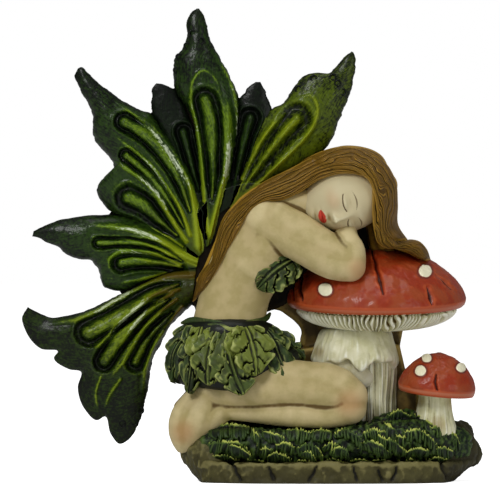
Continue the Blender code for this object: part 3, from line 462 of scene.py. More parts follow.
# %% Right wing, behind the head
leaf_blade("wing_right", side_green, [[(-3.8, 42.2), (-2.6, 42.9)], [(-2.7, 45.9), (0.3, 45.8)],
           [(-1.1, 49.9), (4.5, 48.6)], [(0.3, 53.9), (8.6, 50.7)], [(1.8, 57.9), (11.8, 53)], [(3.7, 59.8),
           (13.3, 55)], [(5.3, 60.5), (14.1, 57.1)], [(6.4, 62.1), (14.9, 59.2)], [(7.5, 63.8),
           (15.7, 61.1)], [(9.1, 65.2), (16.3, 63)], [(10.9, 65.5), (16.6, 64.5)], [(12.6, 65.4),
           (16.9, 65.8)], [(14.2, 66.9), (17, 66.9)], [(15.5, 68.3), (16.9, 68)], [(16.3, 68.9),
           (16.6, 68.8)]], 3.6, [(1.35, [(-1.1, 47, 0.15), (1.9, 51.2, 0.4), (4.8, 55, 0.6),
           (7.5, 58.1, 0.72)])], [(0.35, [(-2.9, 44, 0.2), (1.9, 48.3, 0.25), (6.7, 52.8, 0.28),
           (9.8, 56.3, 0.28), (10.9, 59.5, 0.28), (9.8, 61.8, 0.25), (7.7, 61.4, 0.2)]), (0.25,
           [(-2.6, 45.1, 0.2), (0.3, 51.5, 0.35), (2.9, 56, 0.35), (5.8, 59.2, 0.25)]), (0.1,
           [(-1.6, 43.5, 0.4), (3.5, 46.7, 0.6), (8.3, 49.9, 0.6)])], [(7.7, 62.9), (10.2, 64.6),
           (13.3, 64.8), (14.1, 63.8), (14.9, 62.4)], back=0.34)

# %% Middle left wing
leaf_blade("wing_left_middle", leaf_green, [[(-8.2, 36), (-8.6, 34.1)], [(-10.4, 37.8), (-11.5, 33.6)],
           [(-12.8, 39.5), (-14.7, 32.8)], [(-15.7, 41.1), (-17.9, 31.5)], [(-18.4, 42.1), (-20.6, 30.4)],
           [(-20.5, 42.6), (-22.6, 30.7)], [(-22.4, 42.7), (-23.8, 31.5)], [(-24, 42.6), (-24.3, 33.6)],
           [(-25.4, 42.6), (-25.4, 35.2)], [(-27.2, 42.4), (-27.4, 35.5)], [(-29, 42.1), (-29.4, 36.2)],
           [(-30.7, 41.8), (-30.9, 37.5)], [(-32.5, 41.1), (-32.6, 38.2)], [(-33.9, 40.5), (-33.9, 38.9)],
           [(-34.8, 40), (-35, 39.2)]], 3.8, [(0.55, [(-10.9, 35.2, 0.12), (-14.7, 37.3, 0.28),
           (-19.2, 38.2, 0.34), (-24.3, 38.1, 0.4)]), (0.85, [(-10.9, 34.2, 0.12), (-14.7, 35, 0.4),
           (-17.9, 35.2, 0.62), (-20.6, 34.9, 0.62)])], [(0.95, [(-8.3, 35, 0.6), (-11.5, 36.6, 0.62),
           (-14.7, 38.7, 0.66), (-17.9, 40, 0.62), (-21.6, 40.7, 0.5), (-25.9, 41, 0.3)]), (0.2,
           [(-12.5, 36, 0.14), (-16.3, 37.8, 0.16), (-21.1, 39, 0.16)]), (0.75, [(-11.2, 34.6, 0.25),
           (-14.4, 36, 0.34), (-17.9, 36.6, 0.36), (-21, 36.5, 0.34), (-22.6, 35.5, 0.25),
           (-22.7, 33.9, 0.2)]), (0.35, [(-16, 35.2, 0.12), (-18.9, 35.7, 0.14), (-21.4, 35.2, 0.12)]),
           (0.0, [(-13.6, 33.1, 0.3), (-17.6, 32.3, 0.3), (-20.8, 31.7, 0.2)])], back=0.3)

# %% Upper left wing
leaf_blade("wing_left_upper", leaf_green, [[(-7.4, 36.8), (-8.5, 35.7)], [(-7.5, 40.6), (-11.2, 37.3)],
           [(-8, 44.8), (-13.9, 39)], [(-9, 48.3), (-16.8, 40.8)], [(-10.1, 51), (-19.7, 42.1)],
           [(-11.2, 52.8), (-22.2, 43)], [(-12.3, 54.4), (-24.2, 45.3)], [(-13.3, 55.5), (-24.6, 47)],
           [(-14.4, 56.8), (-23.4, 48.8)], [(-15.8, 58.9), (-21.8, 50.2)], [(-17.4, 59.4), (-22.7, 52)],
           [(-19.2, 60.3), (-24.5, 53.9)], [(-21.1, 61.4), (-25.3, 56)], [(-22.7, 62.6), (-25.3, 58.4)],
           [(-24.3, 63.8), (-26.1, 60.6)], [(-25.9, 65.3), (-27.2, 62.4)], [(-27.2, 66.4), (-27.8, 64)],
           [(-27.7, 66.1), (-28.2, 65.1)]], 4.3, [(0.75, [(-9.6, 43.2, 0.12), (-11.5, 48.3, 0.42),
           (-13.9, 52.2, 0.66), (-17.4, 56, 0.8), (-20.2, 57.6, 0.7)]), (0.6, [(-10.6, 40.6, 0.1),
           (-13.4, 45.4, 0.3), (-16.6, 49.4, 0.52), (-19.8, 52.2, 0.5)]), (1.0, [(-11.8, 39.4, 0.15),
           (-14.7, 41.9, 0.5), (-17.6, 44.5, 0.95), (-19.5, 45.4, 0.95)])], [(1.0, [(-7.8, 37.8, 0.75),
           (-8.5, 42.7, 0.75), (-9.9, 47.4, 0.68), (-12.5, 51.8, 0.6), (-15.4, 55.8, 0.48),
           (-18.6, 58.7, 0.3), (-22.1, 61.1, 0.2)]), (0.9, [(-9.6, 39.4, 0.25), (-11.2, 43.5, 0.32),
           (-13.4, 47, 0.3), (-16.3, 51, 0.28), (-18.7, 53, 0.25), (-21.9, 55.5, 0.2)]), (1.0,
           [(-10.2, 38.4, 0.28), (-12.5, 41.6, 0.4), (-14.7, 45.8, 0.44), (-17.1, 48.2, 0.36),
           (-20.2, 50.2, 0.28), (-22.1, 51.5, 0.2)]), (0.1, [(-10.6, 37.1, 0.3), (-13.9, 39.4, 0.35),
           (-17.6, 41, 0.3)])], back=0.26)

# %% Top wing
leaf_blade("wing_top", leaf_green, [[(-7.2, 37.4), (-6.2, 38.1)], [(-7.5, 41.9), (-4.5, 44.3)], [(-8, 46.7),
           (-3.2, 49.1)], [(-8.6, 53.1), (-2.4, 53.9)], [(-9.1, 57.6), (-1.9, 58.2)], [(-10.2, 59.8),
           (-1.8, 61.1)], [(-12, 62.7), (-2.6, 63.5)], [(-12.3, 65.4), (-3.7, 65.9)], [(-12, 67.8),
           (-5, 68.2)], [(-10.6, 69.8), (-5.9, 69.8)], [(-10.2, 71.4), (-6.6, 71.4)], [(-10.2, 73.1),
           (-6.9, 73.1)], [(-9.6, 74.9), (-7.5, 74.9)], [(-8.6, 75.8), (-8.2, 75.8)]], 4.4, [(1.0,
           [(-6.1, 45.1, 0.12), (-5.9, 49.9, 0.45), (-6.2, 54.7, 0.85), (-6.7, 59.2, 0.95),
           (-7.2, 61.1, 0.8)])], [(0.55, [(-7, 40, 0.4), (-7.5, 45.9, 0.42), (-7.8, 51.5, 0.45),
           (-8.5, 56.6, 0.4), (-9.4, 61.1, 0.28), (-9.1, 64.3, 0.22), (-7.5, 65.9, 0.22),
           (-5.8, 64.8, 0.22), (-4.6, 61.9, 0.22)]), (1.0, [(-6.1, 39.4, 0.5), (-4.6, 45.9, 0.55),
           (-3.5, 51.5, 0.62), (-3.4, 57.1, 0.66), (-3.7, 61.4, 0.5)]), (0.85, [(-5.1, 41.1, 0.2),
           (-3.2, 48.3, 0.22), (-2.2, 53.9, 0.24), (-2.1, 59.2, 0.26), (-3, 63.7, 0.34), (-4.8, 67.2, 0.3),
           (-6.1, 69.1, 0.2)])], [(-9.3, 71.8), (-7.8, 70.6), (-10.1, 69.8), (-11.4, 68), (-11.8, 65.9)],
           back=0.38)

# %% Lower left wing, a fan with three tips
leaf_blade("wing_left_lower", olive_green, [[(-8.6, 34.2), (-9, 31.2), (-9.3, 28.2)], [(-11.5, 33.8),
           (-11.2, 30.2), (-11, 26.6)], [(-14.7, 32.8), (-13.9, 29.1), (-13, 24.5)], [(-18.4, 31),
           (-16.6, 27.5), (-14.2, 22.2)], [(-22.1, 29.3), (-19.5, 25.6), (-15.4, 20)], [(-25.9, 27.4),
           (-22.7, 23.5), (-16, 17.4)], [(-30.1, 26.3), (-26.4, 21.9), (-22.4, 17.6), (-16.5, 14.4)],
           [(-33, 26.4), (-33.9, 23.7), (-30.7, 21.9), (-29.1, 20), (-26.2, 17.9), (-25.6, 14.4),
           (-23.2, 11.5), (-20.5, 9.8), (-17.3, 10.9)], [(-35.8, 27.8), (-36.6, 26.2), (-36, 23.8),
           (-33.6, 21.1), (-30.9, 20.6), (-31.5, 19.8), (-29.1, 17.8), (-27.2, 17.4), (-27.7, 15),
           (-26.6, 11.4), (-24.5, 9.6), (-23.4, 10.2), (-22.4, 7.4), (-21, 5.8), (-19, 7), (-17.9, 9.1)]],
           4.2, [(0.95, [(-11.5, 31.5, 0.12), (-15.2, 30.2, 0.5), (-19.4, 27.5, 0.9), (-23, 25.3, 1.1),
           (-25.9, 23.8, 1.1)]), (0.8, [(-13.1, 29.1, 0.12), (-17.6, 26.1, 0.5), (-20.5, 23.4, 0.8),
           (-22.1, 21.1, 0.88), (-23.4, 19.2, 0.8)]), (0.85, [(-12.5, 26.9, 0.12), (-16.2, 22.9, 0.4),
           (-17.8, 20.2, 0.55), (-18.4, 18.9, 0.5)])], [(0.95, [(-9.1, 33.1, 0.5), (-13.9, 32.8, 0.6),
           (-17.3, 31.5, 0.64), (-21, 29.3, 0.6), (-24.2, 27.4, 0.5), (-27.8, 25.9, 0.4),
           (-32.6, 25.1, 0.25)]), (1.0, [(-11.5, 30.7, 0.3), (-16, 29.4, 0.44), (-18.4, 27.5, 0.5),
           (-21, 25.1, 0.46), (-22.9, 23, 0.36), (-25, 21.4, 0.28)]), (1.0, [(-12.5, 29.9, 0.25),
           (-15.8, 28.2, 0.36), (-18.2, 25.4, 0.4), (-19.8, 23.2, 0.36), (-21, 21.1, 0.2)]), (0.5,
           [(-11.8, 29.1, 0.25), (-16, 25.8, 0.34), (-18.4, 22.2, 0.34), (-20.2, 19.2, 0.3),
           (-22.7, 16.3, 0.2)]), (0.1, [(-10.9, 27.8, 0.3), (-14.4, 23.5, 0.4), (-16.5, 18.7, 0.4),
           (-17.3, 13.9, 0.3)]), (0.2, [(-20.8, 16.3, 0.25), (-22.7, 13.4, 0.3), (-23.4, 11.5, 0.2)]), (0.2,
           [(-24, 16.6, 0.2), (-24.8, 13.9, 0.25), (-24.5, 11.5, 0.2)])], [(-20.5, 9.1), (-18.6, 9.3),
           (-17.6, 11.2)], along=260, across=190, back=0.42)

# %% Punched rings on the wing tips
RING_RADIUS, RING_WIRE = 0.48, 0.15
form = bmesh.new()
for x, z, depth in ring_marks:
    upright = Matrix.Translation((RING_RADIUS * MM, 0, 0)) @ Matrix.Rotation(math.pi / 2, 4, "X")
    ring = bmesh.ops.create_circle(form, segments=10, radius=RING_WIRE * MM, matrix=upright)["verts"]
    edges = list({e for w in ring for e in w.link_edges})
    bmesh.ops.spin(form, geom=ring + edges, cent=(0, 0, 0), axis=(0, 0, 1), dvec=(0, 0, 0),
                   angle=math.tau, steps=20, use_merge=True, use_duplicate=False)
    new = [w for w in form.verts if not w.tag]
    bmesh.ops.transform(form, verts=new, matrix=Matrix.Translation(to_space(x, z, depth))
                        @ Matrix.Rotation(math.pi / 2, 4, "X"))
    for vertex in new:
        vertex.tag = True
bmesh.ops.remove_doubles(form, verts=form.verts[:], dist=0.001 * MM)
bmesh.ops.recalc_face_normals(form, faces=form.faces[:])
rings = piece_from("ring_marks", form, shade_green)
for name in ("height", "silver", "root"):
    store(rings, name, np.zeros(len(rings.data.vertices)))
store(rings, "margin", np.ones(len(rings.data.vertices)))

# %% [markdown]
# ## The sleeper's body
#
# Arms, legs, neck and back are rounded limbs that run into each other. Each limb is the hull of neighbouring
# balls, as a modeller presses balls of clay into a limb, and a voxel remesh then closes one skin over all of
# them. The flesh paint is a pale olive cream. A brown wash lies in the creases, and a warmer tone was dabbed
# on the elbow, the knee and the sole of the foot.

# %% Flesh paint
def painted(name, wash, body, dry, reach, blotch_mm, roughness, varnish=0.0, extra=(), grit_mm=0.4,
            bump_mm=0.03, mottle=0.5, second=None):
    """Paint in three tones: a wash where hollows are about reach mm deep, a body tone, and a dry-brushed one
    on the ridges. extra: (colour, attribute, low, high, most) coats that follow stored values."""
    material, tree, shader = bare_resin(name, roughness, varnish, 0.15, 0.25)
    place = add_node(tree, "ShaderNodeTexCoord", output="Object")
    hollow = add_node(tree, "ShaderNodeAttribute", output="Fac", attribute_name="hollow")
    blotches = add_node(tree, "ShaderNodeTexNoise",
                        {"Vector": place, "Scale": 1 / (blotch_mm * MM), "Detail": 5})
    grit = add_node(tree, "ShaderNodeTexNoise", {"Vector": place, "Scale": 1 / (grit_mm * MM), "Detail": 4})
    sunk = add_node(tree, "ShaderNodeMath", {0: hollow, 1: 1 / reach}, operation="MULTIPLY")
    level = blend_of(tree, sunk, mottle, blotches, grit)
    colour = paint(body)
    if second:
        colour = coat(tree, colour, second, blotches, 0.4, 0.62)
    colour = coat(tree, colour, dry, level, -0.2, -1.0)
    colour = coat(tree, colour, wash, level, 0.2, 1.1)
    for tone, name_of, low, high, most in extra:
        value = add_node(tree, "ShaderNodeAttribute", output="Fac", attribute_name=name_of)
        colour = coat(tree, colour, tone, value, low, high, most)
    finish_off(tree, shader, colour, grit, bump_mm, 0.6)
    return material


# The satin of hand-brushed acrylic: soft broad highlights, and fine brush grit.
flesh = painted("acrylic on resin, flesh cream, hand-brushed", "5c4820", "b6a575", "c9b98a", 0.07, 2.5, 0.5,
                extra=[("ac7d4e", "blush", 0.1, 1.0, 0.6)], mottle=0.3, second="a99a66")


# %% Limbs
def add_form(whole, form):
    """Adds a closed form to a larger one, its faces pointing out."""
    bmesh.ops.remove_doubles(form, verts=form.verts[:], dist=0.005 * MM)
    bmesh.ops.recalc_face_normals(form, faces=form.faces[:])
    join_form(whole, form)


def add_limb(whole, line, count=0):
    """The hulls of neighbouring balls along (x, z, depth, radius) points."""
    line = along_curve(line, count) if count else line
    for pair in zip(line[:-1], line[1:]):
        form = bmesh.new()
        for x, z, depth, radius in pair:
            bmesh.ops.create_icosphere(form, subdivisions=4, radius=radius * MM,
                                       matrix=Matrix.Translation(to_space(x, z, depth)))
        bmesh.ops.delete(form, geom=form.edges[:], context="EDGES_FACES")
        hull = bmesh.ops.convex_hull(form, input=form.verts[:])
        bmesh.ops.delete(form, geom=points_in(hull["geom_interior"]), context="VERTS")
        add_form(whole, form)


def near_points(x, z, spots):
    """Soft patches of (x, z, radius) on the board, 1 in their middles."""
    return np.max([np.exp(-(np.hypot(x - a, z - b) / r) ** 2) for a, b, r in spots], axis=0)


clay = bmesh.new()
add_limb(clay, [(-4.6, 19.5, 6.7, 6.1), (-3.2, 26.2, 7.0, 5.7), (-2.1, 31, 7.4, 5.6), (0.6, 36.5, 7.8, 5.8),
         (1.9, 41, 8.6, 4.3)], 12)
add_limb(clay, [(3.2, 35.2, 8.5, 2.8), (3.5, 33.3, 9.0, 2.3)])
add_limb(clay, [(2.2, 41.6, 10.8, 3.7), (5.6, 39.7, 12.0, 3.2), (8.8, 37.8, 13.0, 3.0),
         (13.8, 35, 14.2, 2.7), (16, 34.6, 14.4, 2.5)], 12)
add_limb(clay, [(16, 34.6, 14.4, 2.5), (16.2, 37.1, 13.8, 2.2), (15.4, 39.4, 12.8, 1.8),
         (15.4, 39.7, 12.2, 1.8)], 8)
# Soft flesh that rounds off the armpit, the folded arm and the crease behind the knee
add_limb(clay, [(2.4, 41.3, 10.5, 3.6), (2.6, 39, 10.3, 3.9), (1.9, 37.1, 9.9, 4.2), (0.2, 35, 9.3, 4.7)],
         8)
add_limb(clay, [(1.9, 40.3, 9.6, 4.4), (0.8, 38.7, 9.1, 4.6), (-0.3, 36.2, 8.6, 5.0)], 5)
add_limb(clay, [(4.2, 41.4, 11.2, 3.5), (7.7, 39.7, 12.2, 3.4), (11.2, 37.6, 13.2, 3.2),
         (14.4, 35.8, 13.8, 2.9)], 9)
add_limb(clay, [(-6.7, 13.8, 9.4, 2.6), (0, 14.9, 10.6, 3.7), (8, 15, 11.6, 3.5), (13.8, 14.4, 12.4, 3.1)],
         9)
add_limb(clay, [(-7, 12.3, 9.6, 2.7), (-8.2, 10.6, 9.6, 3.0), (-9.6, 8.5, 9.3, 2.7),
         (-10.4, 6.6, 9.0, 1.8)], 8)
add_limb(clay, [(-4.5, 11.5, 10.4, 2.0), (-6.7, 10.1, 9.8, 2.4), (-8.6, 8.2, 9.3, 2.0),
         (-9.9, 6.2, 8.9, 1.3)], 7)
add_limb(clay, [(2.9, 43, 8.4, 3.0), (8, 44, 9.0, 2.7), (11.5, 44.6, 9.4, 2.9)], 6)
add_limb(clay, [(-2.2, 16.3, 9.5, 4.4), (8, 16.2, 11.6, 3.3), (14.1, 15.4, 12.4, 3.1),
         (16, 13.8, 12.6, 2.9)], 9)
add_limb(clay, [(16, 12, 12.6, 2.7), (13.6, 11, 12.6, 2.2), (7.2, 11, 12.4, 2.2), (0, 11.4, 11.4, 1.8),
         (-5.1, 11.7, 10.6, 1.5), (-8.6, 12.5, 9.8, 1.9)], 14)
add_limb(clay, [(-9.1, 12.8, 9.4, 2.0), (-10.7, 9.9, 9.4, 2.3), (-11, 7.7, 9.4, 2.0),
         (-10.9, 5.6, 9.0, 1.1)], 7)
body = fused("sleeper_body", clay, 0.2, 26)
dress(body, flesh)
x, z, _ = board_of(points_of(body))
mark_hollows(body, 14)
store(body, "blush", near_points(x, z, [(17.3, 34.2, 2.0), (16, 12.8, 2.6), (-10.7, 8, 2.2)]))

# %% [markdown]
# ## Head
#
# The head lies on its side on the folded arms, crown to the right. It is an egg with a narrower jaw, built on
# the plain proportions of a drawing manual: eyes halfway up, the nose's tip midway from there to the chin,
# the mouth a third below the nose. The closed lids, nose and lips are raised a little out of the egg, and the
# lips, lashes, brows and cheeks are only paint, so they are stored as patches for the paint to follow.

# %% Head
HEAD_MIDDLE = (15.1, 45.5, 9.4)
HEAD_HALF = (5.3, 6.2, 7.3)
roll, nod = math.radians(13), math.radians(28)
crown_way = Vector((math.cos(roll), 0, math.sin(roll)))
face_way = Vector((0, -math.cos(nod), -math.sin(nod)))
face_way = (face_way - crown_way * face_way.dot(crown_way)).normalized()
side_way = face_way.cross(crown_way)


def mound(side, up, s, u, width, height):
    return np.exp(-(((side - s) / width) ** 2) - ((up - u) / height) ** 2)


def face_rise(side, up):
    """Height of the features over the egg, mm, at side and up mm from the middle of the head."""
    rise = 0.3 * mound(side, up, 0, 1.9, 3.2, 1.0)
    bridge = np.clip((1.3 - up) / 3.6, 0, 1) * (1 / (1 + np.exp(-(up + 2.55) * 9)))
    rise += 1.2 * np.exp(-((side / 0.68) ** 2)) * bridge + 0.45 * mound(side, up, 0, -2.25, 0.85, 0.5)
    for s in (-1, 1):
        rise += 0.22 * mound(side, up, 0.62 * s, -2.4, 0.36, 0.34)
        rise -= 0.5 * mound(side, up, 1.9 * s, 0.25, 1.3, 0.95)
        rise += 0.55 * mound(side, up, 1.95 * s, -0.05, 1.05, 0.62)
        lid = np.exp(-(((up + 0.42 - 0.3 * ((side - 1.95 * s) / 1.2) ** 2) / 0.13) ** 2))
        rise -= 0.16 * lid * (np.abs(side - 1.95 * s) < 1.35)
        rise += 0.35 * mound(side, up, 2.6 * s, -2.0, 1.4, 1.4)
    rise += 0.4 * mound(side, up, 0, -3.75, 1.15, 0.34) + 0.45 * mound(side, up, 0, -4.5, 0.9, 0.38)
    rise -= 0.25 * mound(side, up, 0, -4.12, 1.25, 0.12) + 0.3 * mound(side, up, 0, -5.15, 1.1, 0.3)
    return rise + 0.35 * mound(side, up, 0, -5.9, 1.3, 0.8)


form = bmesh.new()
bmesh.ops.create_icosphere(form, subdivisions=7, radius=1)
unit = np.array([v.co for v in form.verts])
jaw = 1 - 0.34 * np.clip(-unit[:, 2], 0, 1) ** 1.6
side = unit[:, 0] * HEAD_HALF[0] * jaw
up = unit[:, 2] * HEAD_HALF[2]
out = unit[:, 1] * HEAD_HALF[1] * (1 - 0.22 * np.clip(-unit[:, 2], 0, 1) ** 2)
front = np.clip(unit[:, 1] * 2.5, 0, 1)
out = out + face_rise(side, up) * front
for vertex, s, f, u in zip(form.verts, side, out, up):
    vertex.co = to_space(*HEAD_MIDDLE) + (side_way * s + face_way * f + crown_way * u) * MM
bmesh.ops.recalc_face_normals(form, faces=form.faces[:])

# Lips, lashes and brows are thin paint, so they have crisp edges in the flesh tone.
face_cream = painted("acrylic on resin, face cream, hand-brushed", "8f7748", "c4b892", "cfc6a2", 0.22, 2.0,
                     0.5, extra=[("b8865c", "cheek", 0.1, 1.1, 0.35), ("6b5a3c", "brow", 0.35, 0.75, 0.85),
                            ("4a3518", "lash", 0.3, 0.7, 0.95), ("c22a1c", "lips", 0.2, 0.55, 0.95),
                            ("7a1a12", "parting", 0.4, 0.9, 0.7)], mottle=0.25)
head = piece_from("sleeper_head", form, face_cream)
mark_hollows(head, 30)
lip_bow = np.clip(1 - (side / 1.25) ** 2, 0, 1)
top_edge = -4.12 + 0.62 * lip_bow**0.7 - 0.12 * np.exp(-((side / 0.22) ** 2))
low_edge = -4.12 - 0.7 * lip_bow**0.6
store(head, "lips", np.clip(np.minimum(top_edge - up, up - low_edge) / 0.16, 0, 1) * (front > 0.5))
store(head, "parting", np.exp(-(((up + 4.12) / 0.07) ** 2)) * (np.abs(side) < 1.15) * (front > 0.5))
lash, brow = np.zeros(len(side)), np.zeros(len(side))
for s in (-1, 1):
    t = (side - 1.95 * s) / 1.3
    lash = np.maximum(lash, np.exp(-(((up + 0.46 - 0.34 * t**2) / 0.11) ** 2)) * (np.abs(t) < 1))
    arch = (up - 1.75 + 0.35 * ((side - 2.0 * s) / 1.3) ** 2) / (0.16 * np.clip(1.25 - np.abs(t), 0.2, 1))
    brow = np.maximum(brow, np.exp(-(arch**2)) * (np.abs(t) < 1.1))
store(head, "lash", lash * (front > 0.5))
store(head, "brow", brow * (front > 0.5))
store(head, "cheek", (mound(side, up, 2.7, -1.9, 1.5, 1.3) + mound(side, up, -2.7, -1.9, 1.5, 1.3)) * front)

# %% [markdown]
# ## Hair
#
# The hair is carved, not made of loose threads: thick locks with V-shaped grooves between them, and finer
# cuts along each lock. A tress is therefore one net between its two edges, whose relief is a row of rounded
# locks that wander a little on their way down. It is auburn, dark brown in the cuts and sandy on the crests.

# %% Hair
auburn = painted("acrylic on resin, auburn brown, dry-brushed", "1c1002", "5a4008", "a47e28", 0.07, 2.2, 0.5,
                 0.08, mottle=0.5, second="70500e", grit_mm=0.3)


CUT_DEPTH, CUTS = 0.6, 4  # depth of the grooves between locks, and fine cuts on each lock
TRESS_BACK = 1.2


def tress(name, left, right, locks, swell, seed, along=260):
    """Combed hair between two edges of (x, z, depth), left edge outermost, swelling out between them."""
    sides = [along_curve(edge, along) for edge in (left, right)]
    form = grid_form(110, along)
    taper = np.interp(np.linspace(0, 1, along), (0, 0.05, 0.7, 1), (0.4, 1, 0.9, 0.3))
    for vertex in form.verts:
        i = round((vertex.co.y + 1) / 2 * (along - 1))
        v = (vertex.co.x + 1) / 2
        u = i / (along - 1)
        wander = 0.42 * noise.noise((u * 5, v * 2.0, seed)) + 0.16 * noise.noise((u * 14, v * 5, seed + 9))
        lock = (v + wander * (0.35 + 0.4 * u) * math.sin(math.pi * v) ** 0.5) * locks
        round_lock = abs(math.sin(math.pi * lock)) ** 0.55
        fine = abs(math.sin(math.pi * (lock * CUTS + 0.8 * noise.noise((u * 7, lock, seed + 4))))) ** 0.8
        bulge = 0.35 * noise.noise((u * 6, math.floor(lock) * 3.7, seed + 2))
        carved = CUT_DEPTH * (round_lock - 0.6 + bulge) + 0.26 * fine
        rise = swell * math.sin(math.pi * v) + carved * taper[i]
        place = sides[0][i] * (1 - v) + sides[1][i] * v
        # Both ends and both edges sink into the hair round them
        sunk = 3.6 * max(0.0, 1 - u / 0.16) ** 2 + 2.2 * max(0.0, u / 0.07 - 13.3) ** 2
        sunk += 0.5 * abs(2 * v - 1) ** 6
        vertex.co = to_space(place[0], place[1], place[2] + rise - sunk)
    close_behind(form, lambda vertex: setattr(vertex.co, "y", -(PROUD + TRESS_BACK) * MM))
    mark_hollows(piece_from(name, form, auburn), 8)


clay = bmesh.new()
add_limb(clay, [(21.4, 47.4, 7, 2.2), (19.2, 50.2, 7, 2.2), (15.2, 51, 7, 2.2), (10.9, 49.8, 6.5, 2.0),
         (6.4, 47.4, 6, 1.6), (1.9, 45.8, 6, 1.7), (-1.6, 43.2, 6.5, 1.5), (-3.8, 39, 6.5, 1.4),
         (-5.6, 35.5, 6, 1.2), (-7.7, 32, 5, 0.9)], 20)
add_limb(clay, [(21.1, 48.3, 7.5, 1.9), (21.4, 45.1, 8, 1.9), (21.4, 41.6, 8, 1.6), (22.4, 39, 7.5, 1.2),
         (25, 37.6, 6, 0.9), (27.5, 36.3, 5, 0.6)], 12)
add_limb(clay, [(17.9, 49.9, 5, 2.6), (20.6, 47.2, 5, 2.6), (21, 41.9, 5, 2.5), (21.3, 38.2, 5, 2.3)], 8)
under = dress(fused("hair_under", clay, 0.22, 3), auburn)
form = bmesh.new()
form.from_mesh(under.data)
form.normal_update()
for vertex in form.verts:
    spot = vertex.co / MM
    strand = spot.y * 1.6 + 1.5 * noise.noise(Vector((spot.x * 0.12, spot.y * 0.4, spot.z * 0.12)))
    vertex.co += vertex.normal * (0.28 * abs(math.sin(strand)) ** 0.6 - 0.2) * MM
form.to_mesh(under.data)
form.free()
mark_hollows(under, 8)
tress("hair_down_back", [(23, 48, 7), (21.1, 52.2, 7), (15.5, 53.8, 6.6), (10.1, 52, 6.4), (6.4, 50.1, 6),
      (1.9, 47.8, 6), (-1.6, 45.3, 6), (-4.2, 42.4, 6), (-5.6, 38.6, 6), (-6.7, 35.2, 6), (-8.2, 33, 5.6),
      (-8.8, 30.7, 5), (-9.3, 28.6, 4.6)], [(20.2, 47.7, 14.6), (18.4, 48.8, 14.8), (15.2, 49.4, 14.4),
      (11.4, 48.5, 13.2), (7.7, 46.2, 11.8), (4.8, 45, 11.6), (1.8, 44.5, 12.4), (-0.6, 42.4, 13.0),
      (-2.2, 39.4, 12.8), (-3.7, 36.8, 12.4), (-5.6, 33.4, 11.6), (-7, 31, 9.8), (-8.6, 29.1, 6.5)], 6, 2.2,
      seed=1)
tress("hair_over_cap", [(21.3, 51.2, 7.5), (23, 48.6, 7.5), (23.5, 45.9, 7.6), (23.5, 42.7, 8),
      (23.7, 40.3, 8), (24.5, 38.6, 7.6), (25.9, 38.7, 7.2), (27.2, 38.4, 6.8), (28.3, 37.3, 6.4),
      (29, 35.5, 6)], [(19.4, 48.6, 14.9), (19.5, 45.4, 15.1), (19.5, 42.9, 14.9), (19.8, 40.3, 14.2),
      (20.5, 38.2, 13.2), (21.9, 37.4, 12.2), (23.4, 37.3, 11.2), (25, 36.8, 10.0), (26.4, 36, 9.0),
      (28, 35.2, 7.6)], 5, 1.8, seed=5, along=200)
tress("hair_over_crown", [(8, 51.2, 5.4), (11.5, 52.9, 6.8), (15.2, 53.7, 7.4), (18.9, 53.1, 7.5),
      (21.8, 51, 7.6), (23.4, 48, 7.8), (23.7, 44.5, 8), (23.8, 41, 8), (25.3, 38.7, 7.4)],
      [(9.6, 48.5, 10.8), (12.5, 49.8, 13.2), (15.2, 50.2, 14.8), (17.3, 49.6, 15.4), (18.9, 48.2, 15.6),
      (19.8, 45.9, 15.6), (20.2, 43.4, 15.2), (20.6, 40.5, 14.2), (22.1, 38.2, 12.6)], 5, 1.7, seed=9,
      along=240)

# %% [markdown]
# ## Leaves she wears
#
# Skirt and bodice are leaves, cut with lobes, a raised midrib and side veins. Each is a small grid that is
# drawn out from base to tip, cupped towards the viewer, and then given its thickness by an extrusion. The
# veins and lobe edges caught a lighter olive as the brush passed.

# %% Leaves
leaf_cloth = painted("acrylic on resin, sage green, dry-brushed", "050803", "1b280d", "7a8440", 0.14, 1.6,
                     0.55, 0.08, extra=[("76822f", "tone", 0.2, 1.1, 0.9), ("aab168", "vein", 0.4, 1.1, 0.65),
                            ("050903", "vein", 0.0, -0.7, 0.97)], mottle=0.6, second="30431a", grit_mm=0.3)


LEAF_THICKNESS = 0.7


